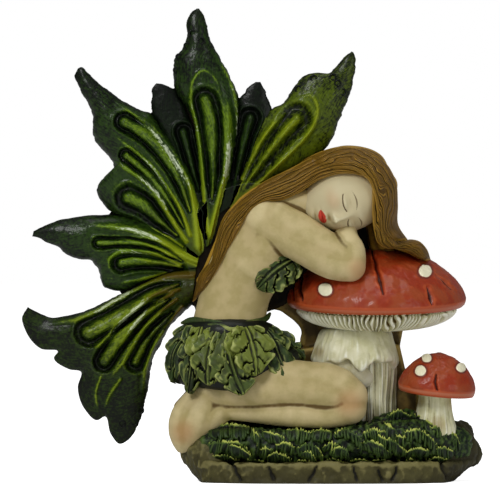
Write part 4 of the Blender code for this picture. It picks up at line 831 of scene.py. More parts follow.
def worn_leaf(name, base, tip, half_width, lift, lobes, tone, fan, bend, notch=0.36):
    """A lobed leaf from base to tip, (x, z, depth), with a bent midrib and folds between its lobes."""
    start, end = to_space(*base), to_space(*tip)
    along = end - start
    facing = Vector((lift, -1, 0.15)).normalized()
    across = along.cross(facing).normalized()
    normal = across.cross(along).normalized()
    form = grid_form(81, 110)
    vein = []
    for vertex in form.verts:
        u, v = (vertex.co.y + 1) / 2, vertex.co.x
        side = abs(v)
        shift = 0.20 * noise.noise((u * 2.6, v * 1.9, base[0] * 2.3))
        shift += 0.05 * noise.noise((u * 9, v * 7, base[1]))
        lobe = abs(math.sin(math.pi * (lobes * (u - 0.32 * side + shift) + 0.15)))
        groove = math.exp(-((lobe / 0.22) ** 2)) * min(1.0, max(0.0, side - 0.10) * 5) * min(1.0, u * 5)
        seam = math.exp(-(((side - 0.12) / 0.05) ** 2)) * (1 - 0.5 * u)
        midrib = math.exp(-((v / 0.06) ** 2)) * (1 - 0.6 * u)
        wide = math.sin(math.pi * min(1, 0.16 + 0.84 * u)) ** 0.6
        spread = fan * (0.3 + 0.85 * u**0.75) + (1 - fan) * wide
        margin = 1 + 0.10 * noise.noise((u * 11, math.copysign(3, v), base[0]))
        margin -= notch * (1 - lobe) ** 1.3 * min(1.0, u * 3)
        reach = 1 - fan * 0.30 * side**1.6
        bow = 0.9 * math.sin(math.pi * u) ** 0.8 + 0.55 * (1 - v * v) - 0.75 * groove - 0.4 * seam
        crumple = noise.noise((u * 6.5, v * 4.2, base[0] * 1.7))
        bow += 0.15 * midrib + 0.45 * lobe * side + 0.6 * noise.noise((u * 2.6, v * 1.6, base[0] * 3.1))
        bow += 0.3 * crumple * side
        sideways = v * half_width * spread * margin + bend * math.sin(math.pi * u)
        vertex.co = start + along * u * reach + across * sideways * MM + normal * bow * MM
        edge = max(0.0, side - 0.88) / 0.12
        pale = 0.6 * lobe**2 * side * (1 + 2.2 * crumple) + 0.75 * midrib + 0.5 * edge * (1 + crumple)
        vein.append(min(1.1, pale) - 1.3 * groove - 0.9 * seam + 0.5 * min(0.0, crumple))
    draw_out(form, form.faces[:], -normal * LEAF_THICKNESS * MM)
    bmesh.ops.recalc_face_normals(form, faces=form.faces[:])
    piece = piece_from(name, form, leaf_cloth)
    mark_hollows(piece, 10)
    values = np.zeros(len(piece.data.vertices))
    values[:len(vein)] = vein
    store(piece, "vein", values)
    store(piece, "tone", np.full(len(values), tone))


SKIRT = [((-9, 25.1, 8.0), (-12.3, 15.8, 8.8), 2.7, -0.9, 3, 0.05, 0.1, 0.6),
         ((-8.5, 25, 10.2), (-9.6, 14.2, 12.4), 2.8, -0.6, 3, 0.3, 0.1, -0.5),
         ((2.6, 23.8, 7.5), (8.8, 19.5, 9.3), 1.9, 0.6, 3, 0.25, 0.2, 0.0),
         ((-7.4, 24.8, 11.8), (-7.7, 18.1, 13.4), 2.8, -0.4, 2, 1.0, 0.1, 0.0),
         ((1.9, 24.5, 10.2), (5.6, 16.3, 13.4), 3.2, 0.5, 3, 0.1, 0.2, -0.3),
         ((-3.8, 24.3, 13.0), (-1.1, 14.1, 15.9), 4.0, 0.1, 3, 0.45, 0.5, 0.6),
         ((-5.1, 24.6, 12.9), (-6.7, 15.7, 15.4), 3.5, -0.2, 3, 0.55, 0.6, 0.3),
         ((-1.6, 24.8, 13.3), (-2.7, 19.2, 15.2), 1.7, -0.1, 1, 1.0, 0.1, 0.3),
         ((-0.8, 24.8, 13.4), (0.8, 17.1, 15.9), 3.9, 0.3, 3, 0.8, 0.3, -0.3)]
for number, (base, tip, half_width, lift, lobes, tone, fan, bend) in enumerate(SKIRT, 1):
    worn_leaf(f"skirt_leaf_{number}", base, tip, half_width, lift, lobes, tone, fan, bend)
worn_leaf("bodice_leaf", (7, 35.8, 11.6), (1.1, 31, 12.4), 3.7, 0.2, 4, 0.35, 0.15, 0.5, notch=0.12)

# Behind the leaves is a plain skirt painted nearly black: painted shadow in the folds that nobody looks into.
clay = bmesh.new()
add_limb(clay, [(-8.8, 23.7, 8.4, 2.1), (-5.6, 23.7, 11.0, 2.6), (-0.8, 23.7, 11.0, 2.6),
         (2.2, 23.4, 8.8, 2.3), (5.8, 20.8, 8.2, 1.4)], 12)
add_limb(clay, [(-10.6, 19.2, 7.8, 2.2), (-6.4, 18.6, 11.6, 2.6), (-0.8, 18.6, 12.6, 2.6),
         (3.5, 19.2, 10.8, 2.6), (6.4, 19.8, 9.4, 1.8)], 12)
add_limb(clay, [(-10.2, 17, 8.2, 1.6), (-6.1, 16.8, 12.0, 1.9), (-1.6, 16.3, 13.0, 1.9)], 8)
shadow_underskirt = dress(fused("shadow_underskirt", clay, 0.25, 4), leaf_cloth)
mark_hollows(shadow_underskirt, 10)
store(shadow_underskirt, "vein", np.full(len(shadow_underskirt.data.vertices), -1))
store(shadow_underskirt, "tone", np.full(len(shadow_underskirt.data.vertices), -1.0))

clay = bmesh.new()
add_limb(clay, [(-9.3, 24.5, 8.0, 0.3), (-7, 25.1, 12.0, 0.34), (-4.5, 25.1, 13.3, 0.38),
         (-3.2, 24.5, 13.8, 0.45), (-1.1, 24.8, 13.2, 0.38), (1.3, 24.8, 11.2, 0.34),
         (2.9, 24.6, 8.2, 0.35)], 40)
add_limb(clay, [(-10.9, 25.4, 7.0, 0.25), (-9.6, 25.8, 8.4, 0.55), (-7.2, 25.9, 11.4, 0.35),
         (-3.2, 25.5, 13.0, 0.28), (1, 25.9, 10.8, 0.34), (2.6, 26.2, 8.2, 0.5), (3.2, 26.9, 7.2, 0.25)],
         40)
belt = dress(fused("leaf_belt", clay, 0.11, 2), leaf_cloth)
mark_hollows(belt, 10)
x, z, _ = board_of(points_of(belt))
lower = np.clip((25.4 - z) / 0.4, 0, 1)
store(belt, "vein", 0.2 + 0.6 * lower)
store(belt, "tone", 0.9 * lower)

# %% [markdown]
# ## Toadstools
#
# A toadstool was surely turned in the carver's mind: the cap is a dome on an upright axis, so a profile spun
# round it gives dome, lip and the bowl of the gills at once. The dome is then worked over: cracks run up from
# the rim, and the surface is slightly lumpy. Red paint over a dark ground, varnished, with cream spots.

# %% Red cap paint
CAP_CONE = 1.3


def cap_line(radius, height, lip, drop, stem):
    """(radius, height) points of a cap, from its top over the lip to the bottom of its gills."""
    dome = [(radius * math.sin(a), height * abs(math.cos(a)) ** CAP_CONE)
            for a in np.linspace(0, math.pi / 2, 70)]
    under = [(radius * 0.995, -lip * 0.4), (radius * 0.985, -lip * 0.8), (radius * 0.96, -lip * 1.15),
             (radius * 0.93, -lip * 1.2), (radius * 0.90, -lip * 1.0), (radius * 0.88, -lip * 0.8)]
    bowl = [(radius * 0.88 * math.cos(a) + stem * (1 - math.cos(a)), -lip * 0.8 - drop * math.sin(a))
            for a in np.linspace(0.06, math.pi / 2, 26)]
    return dome + under, bowl


def turned(profile, steps):
    """A form spun round the Z axis from (radius, height) mm points."""
    form = bmesh.new()
    line = [form.verts.new((r * MM, 0, h * MM)) for r, h in profile]
    edges = [form.edges.new(pair) for pair in zip(line[:-1], line[1:])]
    bmesh.ops.spin(form, geom=line + edges, cent=(0, 0, 0), axis=(0, 0, 1), dvec=(0, 0, 0),
                   angle=math.tau, steps=steps, use_merge=True, use_duplicate=False)
    bmesh.ops.remove_doubles(form, verts=form.verts[:], dist=0.002 * MM)
    bmesh.ops.recalc_face_normals(form, faces=form.faces[:])
    return form


def place_turned(form, x, z, depth, lean=0.0, roll=0.0):
    turn = Matrix.Rotation(math.radians(lean), 4, "X") @ Matrix.Rotation(math.radians(roll), 4, "Y")
    bmesh.ops.transform(form, matrix=Matrix.Translation(to_space(x, z, depth)) @ turn, verts=form.verts[:])


def cut_back(form, floor=None):
    """Cuts a form flat near the back of the casting, and at its underside, and closes the cuts."""
    planes = [(to_space(0, 0, CLOSED_AT), Vector((0, 1, 0)))]
    if floor is not None:
        planes.append((to_space(0, floor, 0), Vector((0, 0, -1))))
    for point, normal in planes:
        bmesh.ops.bisect_plane(form, geom=form.verts[:] + form.edges[:] + form.faces[:], dist=0.0001 * MM,
                               plane_co=point, plane_no=normal, clear_outer=True)
        bmesh.ops.holes_fill(form, edges=open_edges(form), sides=0)
    bmesh.ops.recalc_face_normals(form, faces=form.faces[:])


cap_red = painted("acrylic on resin, toadstool red, varnished", "3c0d04", "902c0a", "ac4a22", 0.14, 3.0, 0.46,
                  0.18, extra=[("3a0a03", "slit", 0.3, 1.0, 0.85), ("b98a6c", "lip", 0.6, 1.1, 0.5),
                         ("6a2414", "ring", 0.2, 0.9, 0.85), ("ece6c6", "spot", 0.35, 0.65, 1.0)],
                  mottle=0.4, second="96401c", bump_mm=0.05, grit_mm=0.5)


# %% Caps
def red_cap(name, radius, height, lip, drop, stem, place, lean, roll, slits, spots, steps):
    dome, bowl = cap_line(radius, height, lip, drop, stem)
    form = turned(dome + [(stem, dome[-1][1])], steps)
    edge = [float(np.exp(-((math.hypot(v.co.x, v.co.y) / MM - radius * 0.985) / 0.35) ** 2)
                  * np.exp(-((v.co.z / MM + lip * 0.5) / (lip * 0.6)) ** 2)) for v in form.verts]
    place_turned(form, *place, lean, roll)
    places = np.array([v.co for v in form.verts])
    bx, bz, bd = board_of(places)
    form.normal_update()
    slit, ring, spot = np.zeros(len(bx)), np.zeros(len(bx)), np.zeros(len(bx))
    front = bd > place[2] - 0.5
    waver = np.array([0.35 * noise.noise((a * 0.6, b * 0.6, 2.0)) for a, b in zip(bx, bz)])
    for line in slits:
        distance, width, _ = nearest_on(line, bx + waver, bz)
        slit = np.maximum(slit, np.exp(-((distance / np.maximum(width, 0.05)) ** 2)) * front)
    for sx, sz, size in spots:
        gap = np.hypot(bx - sx, (bz - sz) * 1.1)
        ring = np.maximum(ring, np.exp(-(((gap - size * 1.15) / 0.22) ** 2)) * front)
        spot = np.maximum(spot, (1 / (1 + np.exp((gap - size) * 14))) * front)
    for k, vertex in enumerate(form.verts):
        lump = 0.22 * noise.fractal(places[k] / MM * 0.35, 0.7, 2.1, 4)
        up = max(0.0, vertex.normal.z) ** 0.5
        vertex.co += vertex.normal * (lump * up - 0.5 * slit[k] + 0.12 * spot[k] - 0.10 * ring[k]) * MM
    marks = {"slit": slit, "ring": ring, "spot": spot, "lip": np.array(edge)}
    layers = {key: form.verts.layers.float.new(key) for key in marks}
    for k, vertex in enumerate(form.verts):
        for key, layer in layers.items():
            vertex[layer] = float(marks[key][k])
    cut_back(form)
    mark_hollows(piece_from(name, form, cap_red), 14)
    return bowl


def spot_at(cap, aside, up):
    """Board place of a spot, given in parts of its cap's radius and height."""
    x, z, radius, height = cap
    return x + aside * radius, z + up * height


BIG = (20.3, 29.1, 14.4, 8.4)
SMALL = (29.9, 15.3, 6.2, 5.3)
big_bowl = red_cap(
    "big_cap", BIG[2], BIG[3], 0.9, 3.4, 4.6, (20.3, 29.1, 3.0), 5, 0,
    [[(19.5, 37.1, 0.16), (20.2, 34.6, 0.3), (20.8, 32.3, 0.28), (21.3, 30.2, 0.08)],
     [(28.3, 31.2, 0.12), (28.8, 29.6, 0.26), (29.3, 28.5, 0.1)],
     [(29.8, 33.1, 0.08), (31, 32.2, 0.2), (32.3, 30.9, 0.08)],
     [(8.3, 34.6, 0.16), (8, 32, 0.22), (8.3, 29.1, 0.16)],
     [(7.4, 33.6, 0.12), (6.9, 31.4, 0.2), (6.9, 29.1, 0.12)]],
    [(*spot_at(BIG, -0.576, 0.215), 1.1), (*spot_at(BIG, 0.538, 0.56), 1.05)], 480)
small_bowl = red_cap(
    "small_cap", SMALL[2], SMALL[3], 0.9, 0.6, 2.7, (29.9, 15.3, 9.5), 5, 6,
    [[(29.9, 17.4, 0.12), (29.4, 16.2, 0.24), (29.8, 14.9, 0.2)]],
    [(*spot_at(SMALL, -0.44, 0.5), 0.9), (*spot_at(SMALL, -0.27, 0.87), 0.75),
     (*spot_at(SMALL, 0.62, 0.58), 0.8)], 320)

# %% [markdown]
# ## Gills and stems
#
# Under the rim hang the gills, thin fins that run from the lip to the stem. They are one more spun bowl whose
# radius is pressed in and out with the angle, so the fins stay sharp while the piece stays whole. The wash of
# olive brown between them does the rest. The stems are spun as well, with soft upright flutes, and the torn
# veil round the big one is a skirt whose lower hem is cut ragged.

# %% Gills
# The amber coat follows the shade attribute: painted shade under the gills and at the sides of the stems.
stalk = painted("acrylic on resin, toadstool cream, amber painted shade", "5a460f", "d9d6b4", "f0f0dc", 0.12, 2.0,
                0.5, 0.12, extra=[("8a6f2a", "shade", 0.15, 1.1, 0.6)], mottle=0.45, second="c9c69c")


def gills(name, radius, bowl, place, lean, roll, fins, relief, steps):
    form = turned([(radius * 0.96, bowl[0][1] + 0.5)] + bowl + [(0, bowl[-1][1])], steps)
    top = bowl[0][1]
    for vertex in form.verts:
        angle = math.atan2(vertex.co.y, vertex.co.x)
        bend = 0.2 * noise.noise((math.cos(angle) * 5, math.sin(angle) * 5, vertex.co.z / MM * 0.4))
        wave = math.cos(fins * (angle + bend * 0.5))
        width = math.hypot(vertex.co.x, vertex.co.y) / MM
        deep = min(1.0, max(0.0, (top + 0.3 - vertex.co.z / MM) / 0.8)) * min(1.0, width / 4)
        push = relief * deep * (math.copysign(abs(wave) ** 0.6, wave) - 0.2) / max(width, 1)
        vertex.co.x *= 1 + push
        vertex.co.y *= 1 + push
        vertex.co.z -= 0.25 * relief * deep * wave * MM
    place_turned(form, *place, lean, roll)
    cut_back(form)
    piece = piece_from(name, form, stalk)
    _, z, _ = board_of(points_of(piece))
    mark_hollows(piece, 8)
    # Painted shade: the gills turn amber towards their bottom, deep under the cap.
    store(piece, "shade", np.clip((place[1] - 3.2 - z) / 2.5, 0, 1) * 0.5)


gills("big_gills", BIG[2], big_bowl, (20.3, 28.8, 3.0), 5, 0, 96, 0.55, 1440)
gills("small_gills", SMALL[2], small_bowl, (29.9, 15.3, 9.5), 5, 6, 30, 0.25, 480)


# %% Stems and veil
def stem(name, profile, place, flutes, depth_of_flute, shaded, steps=240, ragged=0.0):
    knots = along_curve(profile, 60, list(range(len(profile))))
    form = turned([(0, knots[0][1])] + [tuple(k) for k in knots] + [(0, knots[-1][1])], steps)
    low = min(k[1] for k in knots)
    high = max(k[1] for k in knots)
    for vertex in form.verts:
        angle = math.atan2(vertex.co.y, vertex.co.x)
        width = math.hypot(vertex.co.x, vertex.co.y) / MM
        if width < 0.4:
            continue
        down = (high - vertex.co.z / MM) / (high - low)
        wave = noise.noise((math.cos(angle) * flutes / 6, math.sin(angle) * flutes / 6, down * 1.2))
        wave += 0.5 * noise.noise((math.cos(angle) * flutes / 2, math.sin(angle) * flutes / 2, down * 2.5))
        push = depth_of_flute * wave / width
        vertex.co.x *= 1 + push
        vertex.co.y *= 1 + push
        tear = noise.noise((math.cos(angle) * 3.2, math.sin(angle) * 3.2, 7.7))
        vertex.co.z += ragged * tear * max(0.0, down) ** 3 * MM
    place_turned(form, *place)
    cut_back(form)
    piece = piece_from(name, form, stalk)
    x, z, _ = board_of(points_of(piece))
    mark_hollows(piece, 14)
    # Painted shade: amber patches at the given shaded spots of each stem and the veil.
    store(piece, "shade", near_points(x, z, shaded))


stem("big_stem", [(3.2, 0), (3.1, -4), (2.9, -8), (3.1, -13), (3.6, -17.5)], (20.3, 20.6, 5.5), 30, 0.6,
     [(23.7, 14.4, 2.4), (24.6, 18.6, 1.6), (16.3, 17.6, 1.4), (24, 11.5, 1.6)])
clay = bmesh.new()
add_limb(clay, [(13.3, 19.2, 8.4, 2.0), (16, 18.2, 9.0, 1.9), (18.2, 16.6, 8.4, 1.6)], 8)
flare = dress(fused("stem_flare", clay, 0.25, 8), stalk)
mark_hollows(flare, 8)
# Painted shade: the flare behind the thigh is amber all over.
store(flare, "shade", np.full(len(flare.data.vertices), 0.6))
stem("torn_veil", [(4.6, 0), (5.4, -0.3), (6.1, -1.8), (6.8, -3.6), (7.1, -5.2), (6.4, -5.8), (4.5, -5.4)],
     (16.9, 24.5, 5.0), 22, 0.3, [(10.9, 20.8, 1.2), (24.6, 21.1, 1.6)], steps=360, ragged=1.7)
stem("small_stem", [(2.6, 0.3), (2.5, -2), (2.9, -4.5), (3.4, -6.6), (3.3, -7.8), (2.2, -8.4)],
     (29.6, 15.3, 9.5), 18, 0.3, [(26.9, 13.1, 1.2), (32.3, 12.8, 1.4), (30.1, 9.3, 1.6)], steps=200)

# %% [markdown]
# ## Rock and moss
#
# The base is a bank of moss on a rim of cracked stone. The stone is a slab under the footprint of the figure,
# remeshed and then roughened by fractal noise, with the cracks pressed in where they cross the rim. It was
# painted dull olive brown and the cracks were filled with a dark wash.

# %% Stone
FOOTPRINT = [(-10.9, 0), (-10.7, 5), (-8.0, 11.5), (-1.6, 15.6), (8.0, 17),
             (17.6, 17), (26.4, 15.6), (33.0, 11), (36.5, 4.5), (36.6, 0)]
RIM_HEIGHT, BELOW = 3.2, 1.2  # the slab starts below the underside, which is cut flat later
RIM_ENDS = (-7.2, 31.0)
CRACKS = [[(-2.9, 3.4, 0.2), (-1.6, 0.6, 0.3)], [(2.9, 2.6, 0.2), (3.7, 0.8, 0.3)],
          [(10.6, 2.7, 0.2), (9.4, 0.6, 0.3)], [(16.3, 2.9, 0.2), (17, 0.6, 0.25)],
          [(20.5, 2.2, 0.2), (21, 0.6, 0.25)], [(23.5, 2.6, 0.2), (22.7, 0.6, 0.25)],
          [(30.4, 3.2, 0.2), (31.7, 0.8, 0.3)]]
stone_paint = painted("acrylic on resin, stone olive, washed dark", "1a170a", "4a4622", "726c40", 0.22, 2.6,
                      0.6, extra=[("141206", "crack", 0.1, 0.8, 0.95), ("26230d", "shade", 0.1, 1.0, 0.8)],
                      mottle=0.45, second="3a3616", grit_mm=0.35, bump_mm=0.08)

form = bmesh.new()
ring = [form.verts.new(to_space(x, -BELOW, depth)) for x, depth in along_curve(FOOTPRINT, 200)]
ring += [form.verts.new(to_space(x, -BELOW, -1.2)) for x in (36.6, -10.9)]
draw_out(form, [form.faces.new(ring)], (0, 0, (RIM_HEIGHT + BELOW) * MM))
# The rim is cut back under both ends
lowest, highest = (to_space(x, 0, 0).x for x in RIM_ENDS)
for vertex in ring:
    vertex.co.x = min(max(vertex.co.x, lowest), highest)
clay = bmesh.new()
add_form(clay, form)
add_limb(clay, [(-8.6, 4.6, 6.5, 2.4), (-7, 5.3, 8.8, 2.9), (-5.4, 3.5, 10.2, 2.3)])
add_limb(clay, [(32.8, 6.4, 5.0, 3.0), (33.9, 4.8, 5.5, 2.5), (30.4, 3.2, 9.5, 2.4)])
add_limb(clay, [(33.9, 7.4, 3.0, 2.2), (35.2, 4.2, 4.0, 2.0)])
form = reopened(fused("stone_rim", clay, 0.26, 3))
bx, bz, bd = board_of(np.array([v.co for v in form.verts]))
crack, block = np.zeros(len(bx)), np.full(len(bx), 9.0)
shake = np.array([noise.noise((a * 0.9, b * 0.9, 4.0)) for a, b in zip(bx, bz)])
for line in CRACKS:
    distance, width, _ = nearest_on(line, bx + 0.35 * shake, bz)
    crack = np.maximum(crack, np.exp(-((distance / (width * 0.9)) ** 2)) * (bd > 6))
    block = np.minimum(block, distance)
layers = {name: form.verts.layers.float.new(name) for name in ("crack", "shade")}
for k, vertex in enumerate(form.verts):
    spot = vertex.co / MM
    rough = noise.fractal(spot * 0.28, 0.8, 2.2, 5) * 0.5 + 0.18 * noise.noise(spot * 1.7)
    chip = abs(noise.noise(spot * 0.55 + Vector((9, 3, 1)))) ** 0.7
    swell = 0.3 * (1 - math.exp(-((block[k] / 1.0) ** 2)))
    vertex.co += vertex.normal * (0.6 * rough - 0.3 * chip - 0.5 * crack[k] + swell * (bd[k] > 6)) * MM
    vertex[layers["crack"]] = float(crack[k])
    # Painted shade: the stone is darker towards its right end and along its foot.
    low = max(0.0, 1.6 - (vertex.co.z / MM + BOARD_Z)) / 1.6
    vertex[layers["shade"]] = float(min(1.0, max(0.0, (bx[k] - 29) / 3, 0.8 * low)))
cut_back(form, 0.0)
rock = piece_from("stone_rim", form, stone_paint)
mark_hollows(rock, 12)

# %% [markdown]
# The moss is modelled as little ruffled crests, like curly kale: each is a strip that hangs from a crest line
# over the bank, pleated more and more towards its hem. The crests were dry-brushed yellow-green over a dark
# blue-green ground, which is what makes the ruffles stand out from each other.

# %% Moss
moss_paint = painted("acrylic on resin, moss dark green, dry-brushed", "020502", "0d190a", "33471a", 0.12,
                     2.4, 0.5, mottle=0.35, second="13230e", grit_mm=0.35, bump_mm=0.05,
                     extra=[("566c2a", "crest", 0.12, 0.6, 0.9), ("b4bc58", "crest", 0.5, 1.0, 0.9)])
BANK = [(-6.1, 6.1, 9.8, 2.3), (0, 6.1, 12.4, 2.6), (12.8, 5.8, 13.2, 2.6),
        (20.8, 6.7, 12.8, 3.0), (28.8, 6.6, 10.6, 3.2), (32.8, 6.1, 8.2, 2.8)]
clay = bmesh.new()
add_limb(clay, BANK, 18)
add_limb(clay, [(21.6, 8, 9.6, 2.8), (24.8, 9, 8.6, 2.6), (30.4, 6.7, 7.6, 3.0)], 8)
add_limb(clay, [(-6.1, 6.7, 4.0, 3.0), (8, 6.7, 5.0, 3.4), (24, 7.4, 5.0, 3.4), (32, 6.7, 4.0, 3.0)], 16)
form = reopened(fused("moss_bank", clay, 0.26, 3))
for vertex in form.verts:
    spot = vertex.co / MM
    curl = noise.noise(Vector((spot.x * 1.5, spot.y * 0.9, spot.z * 0.9))) + 0.6 * noise.noise(spot * 2.4)
    vertex.co += vertex.normal * 0.38 * curl * MM
cut_back(form)
bank = piece_from("moss_bank", form, moss_paint)
values = mark_hollows(bank, 10)
store(bank, "crest", np.clip(-values * 1.5, 0, 0.5))


def bank_front(x, z):
    """Depth of the bank's rounded front at a board point."""
    line = np.array(BANK)
    middle, depth, radius = (np.interp(x, line[:, 0], line[:, k]) for k in (1, 2, 3))
    return depth + math.sqrt(max(0.0, (radius * 1.12) ** 2 - (z - middle) ** 2))


PLEAT = 0.62  # width of one pleat
FRONTMOST = 17.2  # no ruffle stands further out than this


def ruffle(whole, crests, line, drop, seed):
    """A pleated strip that hangs over the bank from a crest line of (x, z, lift) points."""
    count = max(30, int(np.linalg.norm(np.diff(np.array(line)[:, :2], axis=0), axis=1).sum() / 0.085))
    path = along_curve(line, count)
    form = grid_form(count, 16)
    marks = []
    length = np.concatenate([[0], np.cumsum(np.linalg.norm(np.diff(path[:, :2], axis=0), axis=1))])
    for vertex in form.verts:
        i = round((vertex.co.x + 1) / 2 * (count - 1))
        v = 1 - (vertex.co.y + 1) / 2
        end = math.sin(math.pi * min(1.0, max(0.0, i / (count - 1)))) ** 0.3
        s = length[i] / PLEAT + 1.8 * noise.noise((length[i] * 0.8, seed, 0.0)) + 0.3 * math.sin(3 * v + seed)
        pleat = math.cos(math.tau * s) * (0.75 + 0.9 * noise.noise((length[i] * 1.3, seed + 5, 0.0)))
        big = noise.noise((length[i] * 0.45, seed + 3, v * 0.8))
        x, z, lift = path[i]
        ragged = noise.noise((length[i] * 2.1, seed + 8, 0.0))
        fall = v * drop * (0.85 + 0.3 * big + 0.35 * ragged) * end
        fall -= (0.22 * pleat + 0.3 * ragged) * (1 - v) ** 2
        rise = 0.30 + 0.7 * (1 - v) ** 0.6 + 0.30 * pleat * (0.5 + 0.6 * v) + 0.4 * big
        depth = bank_front(x, z - fall) + lift + rise * end
        vertex.co = to_space(x + 0.12 * math.sin(math.tau * s) * v, z - fall, min(depth, FRONTMOST))
        lit = 1.25 * max(0.0, 1 - v * 4.5) + 0.85 * max(0.0, pleat) ** 2 * (1 - 0.7 * v)
        marks.append(lit * (0.8 + 1.1 * noise.noise((length[i] * 0.6, seed + 6, v * 1.5))))

    def into_the_bank(vertex):
        vertex.co.y += 1.4 * MM
        vertex.co.z -= 0.3 * MM
        marks.append(0.1)

    close_behind(form, into_the_bank)
    join_form(whole, form)
    crests.extend(marks)


CRESTS = [
    ([(-6.7, 8.5, 0), (-4.6, 9.3, 0), (-2.6, 9.4, 0), (0, 9, 0)], 2.6),
    ([(1.9, 8.5, 0), (3.7, 8.2, 0.1), (5.6, 7.2, 0.2)], 2.4),
    ([(5.8, 8.5, 0), (7.7, 8.7, 0), (9.9, 8.2, 0)], 2.4),
    ([(9.8, 8.3, 0), (11.2, 8.7, 0), (13, 8.3, 0)], 2.3),
    ([(13.4, 8, 0), (14.9, 8.8, 0.1), (16.5, 8.2, 0.3), (17.8, 6.9, 0.3), (17.1, 5.6, 0.2)], 2.0),
    ([(17.9, 8, -0.3), (19.8, 8.8, -0.2), (21.8, 8.2, -0.2)], 2.4),
    ([(21.9, 10.7, -0.8), (23.4, 11.7, -0.8), (25.8, 10.6, -0.8)], 2.6),
    ([(21.3, 9.8, -0.4), (23.4, 8.6, -0.2)], 2.4),
    ([(26.2, 10.9, -0.6), (27.8, 10.4, -0.6), (29.3, 9.3, -0.4)], 2.3),
    ([(28.5, 9.1, -0.3), (30.1, 9, -0.3), (31.7, 8.2, -0.3)], 2.4),
    ([(31.4, 8.3, -0.3), (32.8, 7.7, -0.3), (33.6, 6.2, -0.3)], 2.4),
    ([(23.2, 7.8, 0), (25, 7.5, 0)], 2.2),
    ([(0.2, 8.8, 0.3), (1.4, 7.7, 0.4), (1, 5.8, 0.4)], 2.4),
    ([(24.5, 8.3, 0.1), (26.7, 8.8, 0.2), (28.5, 7.7, 0.3), (29.9, 6.1, 0.3)], 2.8),
    ([(-6.7, 6.2, 0), (-4.5, 6.7, 0.2), (-1.9, 6.6, 0.3), (-0.3, 5.4, 0.4), (0.3, 4.2, 0.3)], 2.6),
    ([(-3.5, 6.2, 0.5), (-1.6, 5.9, 0.6), (0.2, 4.5, 0.6)], 2.0),
    ([(2.7, 4.3, 0.2), (4.2, 5.1, 0.4), (5.6, 4.6, 0.5), (6.7, 3.7, 0.3)], 2.2),
    ([(1.3, 5.4, 0.0), (2.6, 5.9, 0.1), (3.8, 5.3, 0.1)], 2.2),
    ([(4, 6.2, 0.1), (5.4, 6.7, 0.2), (7.2, 5.9, 0.2)], 2.4),
    ([(7.4, 5.8, 0.1), (9.1, 6.4, 0.3), (10.7, 5.9, 0.4), (11.7, 4.3, 0.3)], 2.6),
    ([(8, 5.1, 0.5), (9.6, 5.1, 0.6), (10.7, 3.5, 0.5)], 1.6),
    ([(11.5, 5.9, 0), (12.8, 6.6, 0.1), (14.1, 6.1, 0.1)], 2.2),
    ([(12.8, 5.3, 0.2), (14.2, 5.9, 0.3), (15.5, 5.4, 0.4), (15.8, 4, 0.4)], 2.2),
    ([(17.8, 6.6, 0.3), (19.4, 6.9, 0.4), (21, 6.2, 0.5), (22.2, 5, 0.5)], 2.6),
    ([(20.3, 7.7, 0.3), (22.7, 7, 0.5), (24.8, 5.4, 0.6)], 2.8),
    ([(24.5, 5, 0.1), (26.6, 5.8, 0.3), (28.6, 5.3, 0.3)], 2.4),
    ([(29.4, 5.6, 0), (31, 5.8, 0), (32.5, 5, 0)], 2.4),
    ([(15.4, 3.4, 0.1), (17.3, 4, 0.4), (19.2, 3.5, 0.4)], 1.3),
    ([(18.9, 3.4, 0.1), (20.8, 3.8, 0.3), (22.6, 3.2, 0.3)], 1.2),
    ([(23.4, 3.4, 0.1), (25.8, 3.8, 0.3), (28, 3.4, 0.2)], 1.3),
    ([(-6.4, 4.2, 0.1), (-4.2, 4.5, 0.3), (-1.6, 3.5, 0.3)], 1.5),
    ([(-1.1, 3.4, 0.2), (0.8, 3.8, 0.4), (2.9, 3.2, 0.4)], 1.1),
    ([(6.6, 3.4, 0.2), (8.5, 3.8, 0.4), (10.4, 3.2, 0.4)], 1.1),
    ([(10.9, 3.4, 0.2), (13.1, 4, 0.4), (15.4, 3.2, 0.4)], 1.2),
    ([(28, 3.7, 0), (30.1, 4.2, 0), (31.8, 3.5, 0)], 1.6),
]
whole, crests = bmesh.new(), []
for number, (line, drop) in enumerate(CRESTS):
    ruffle(whole, crests, line, drop, number * 1.7)
moss = piece_from("moss_ruffles", whole, moss_paint)
mark_hollows(moss, 6)
store(moss, "crest", crests)

# %% [markdown]
# ## Behind the figure
#
# A relief has no air behind it: the resin fills the space between the figure, the wings and the flat back.
# These fillings are plain slabs. The one behind the figure is painted near-black as painted shadow, and the
# one under the cap amber brown as painted shade. A lid covers the magnet's pocket.

# %% Filling
def add_slab(whole, outline, depth, start=CLOSED_AT):
    form = bmesh.new()
    face = form.faces.new([form.verts.new(to_space(x, z, start)) for x, z in outline])
    draw_out(form, [face], (0, -(depth - start) * MM, 0))
    add_form(whole, form)


# Painted shadow: near-black brown on the filling and lid behind the figure, where the relief lies in shade.
shadow_and_wash_paint = painted("acrylic on resin, black-brown wash and painted shadow", "050302", "100b04", "221a0a", 0.12, 2.4, 0.55,
                        mottle=0.6, second="181105", grit_mm=0.6, bump_mm=0.08)
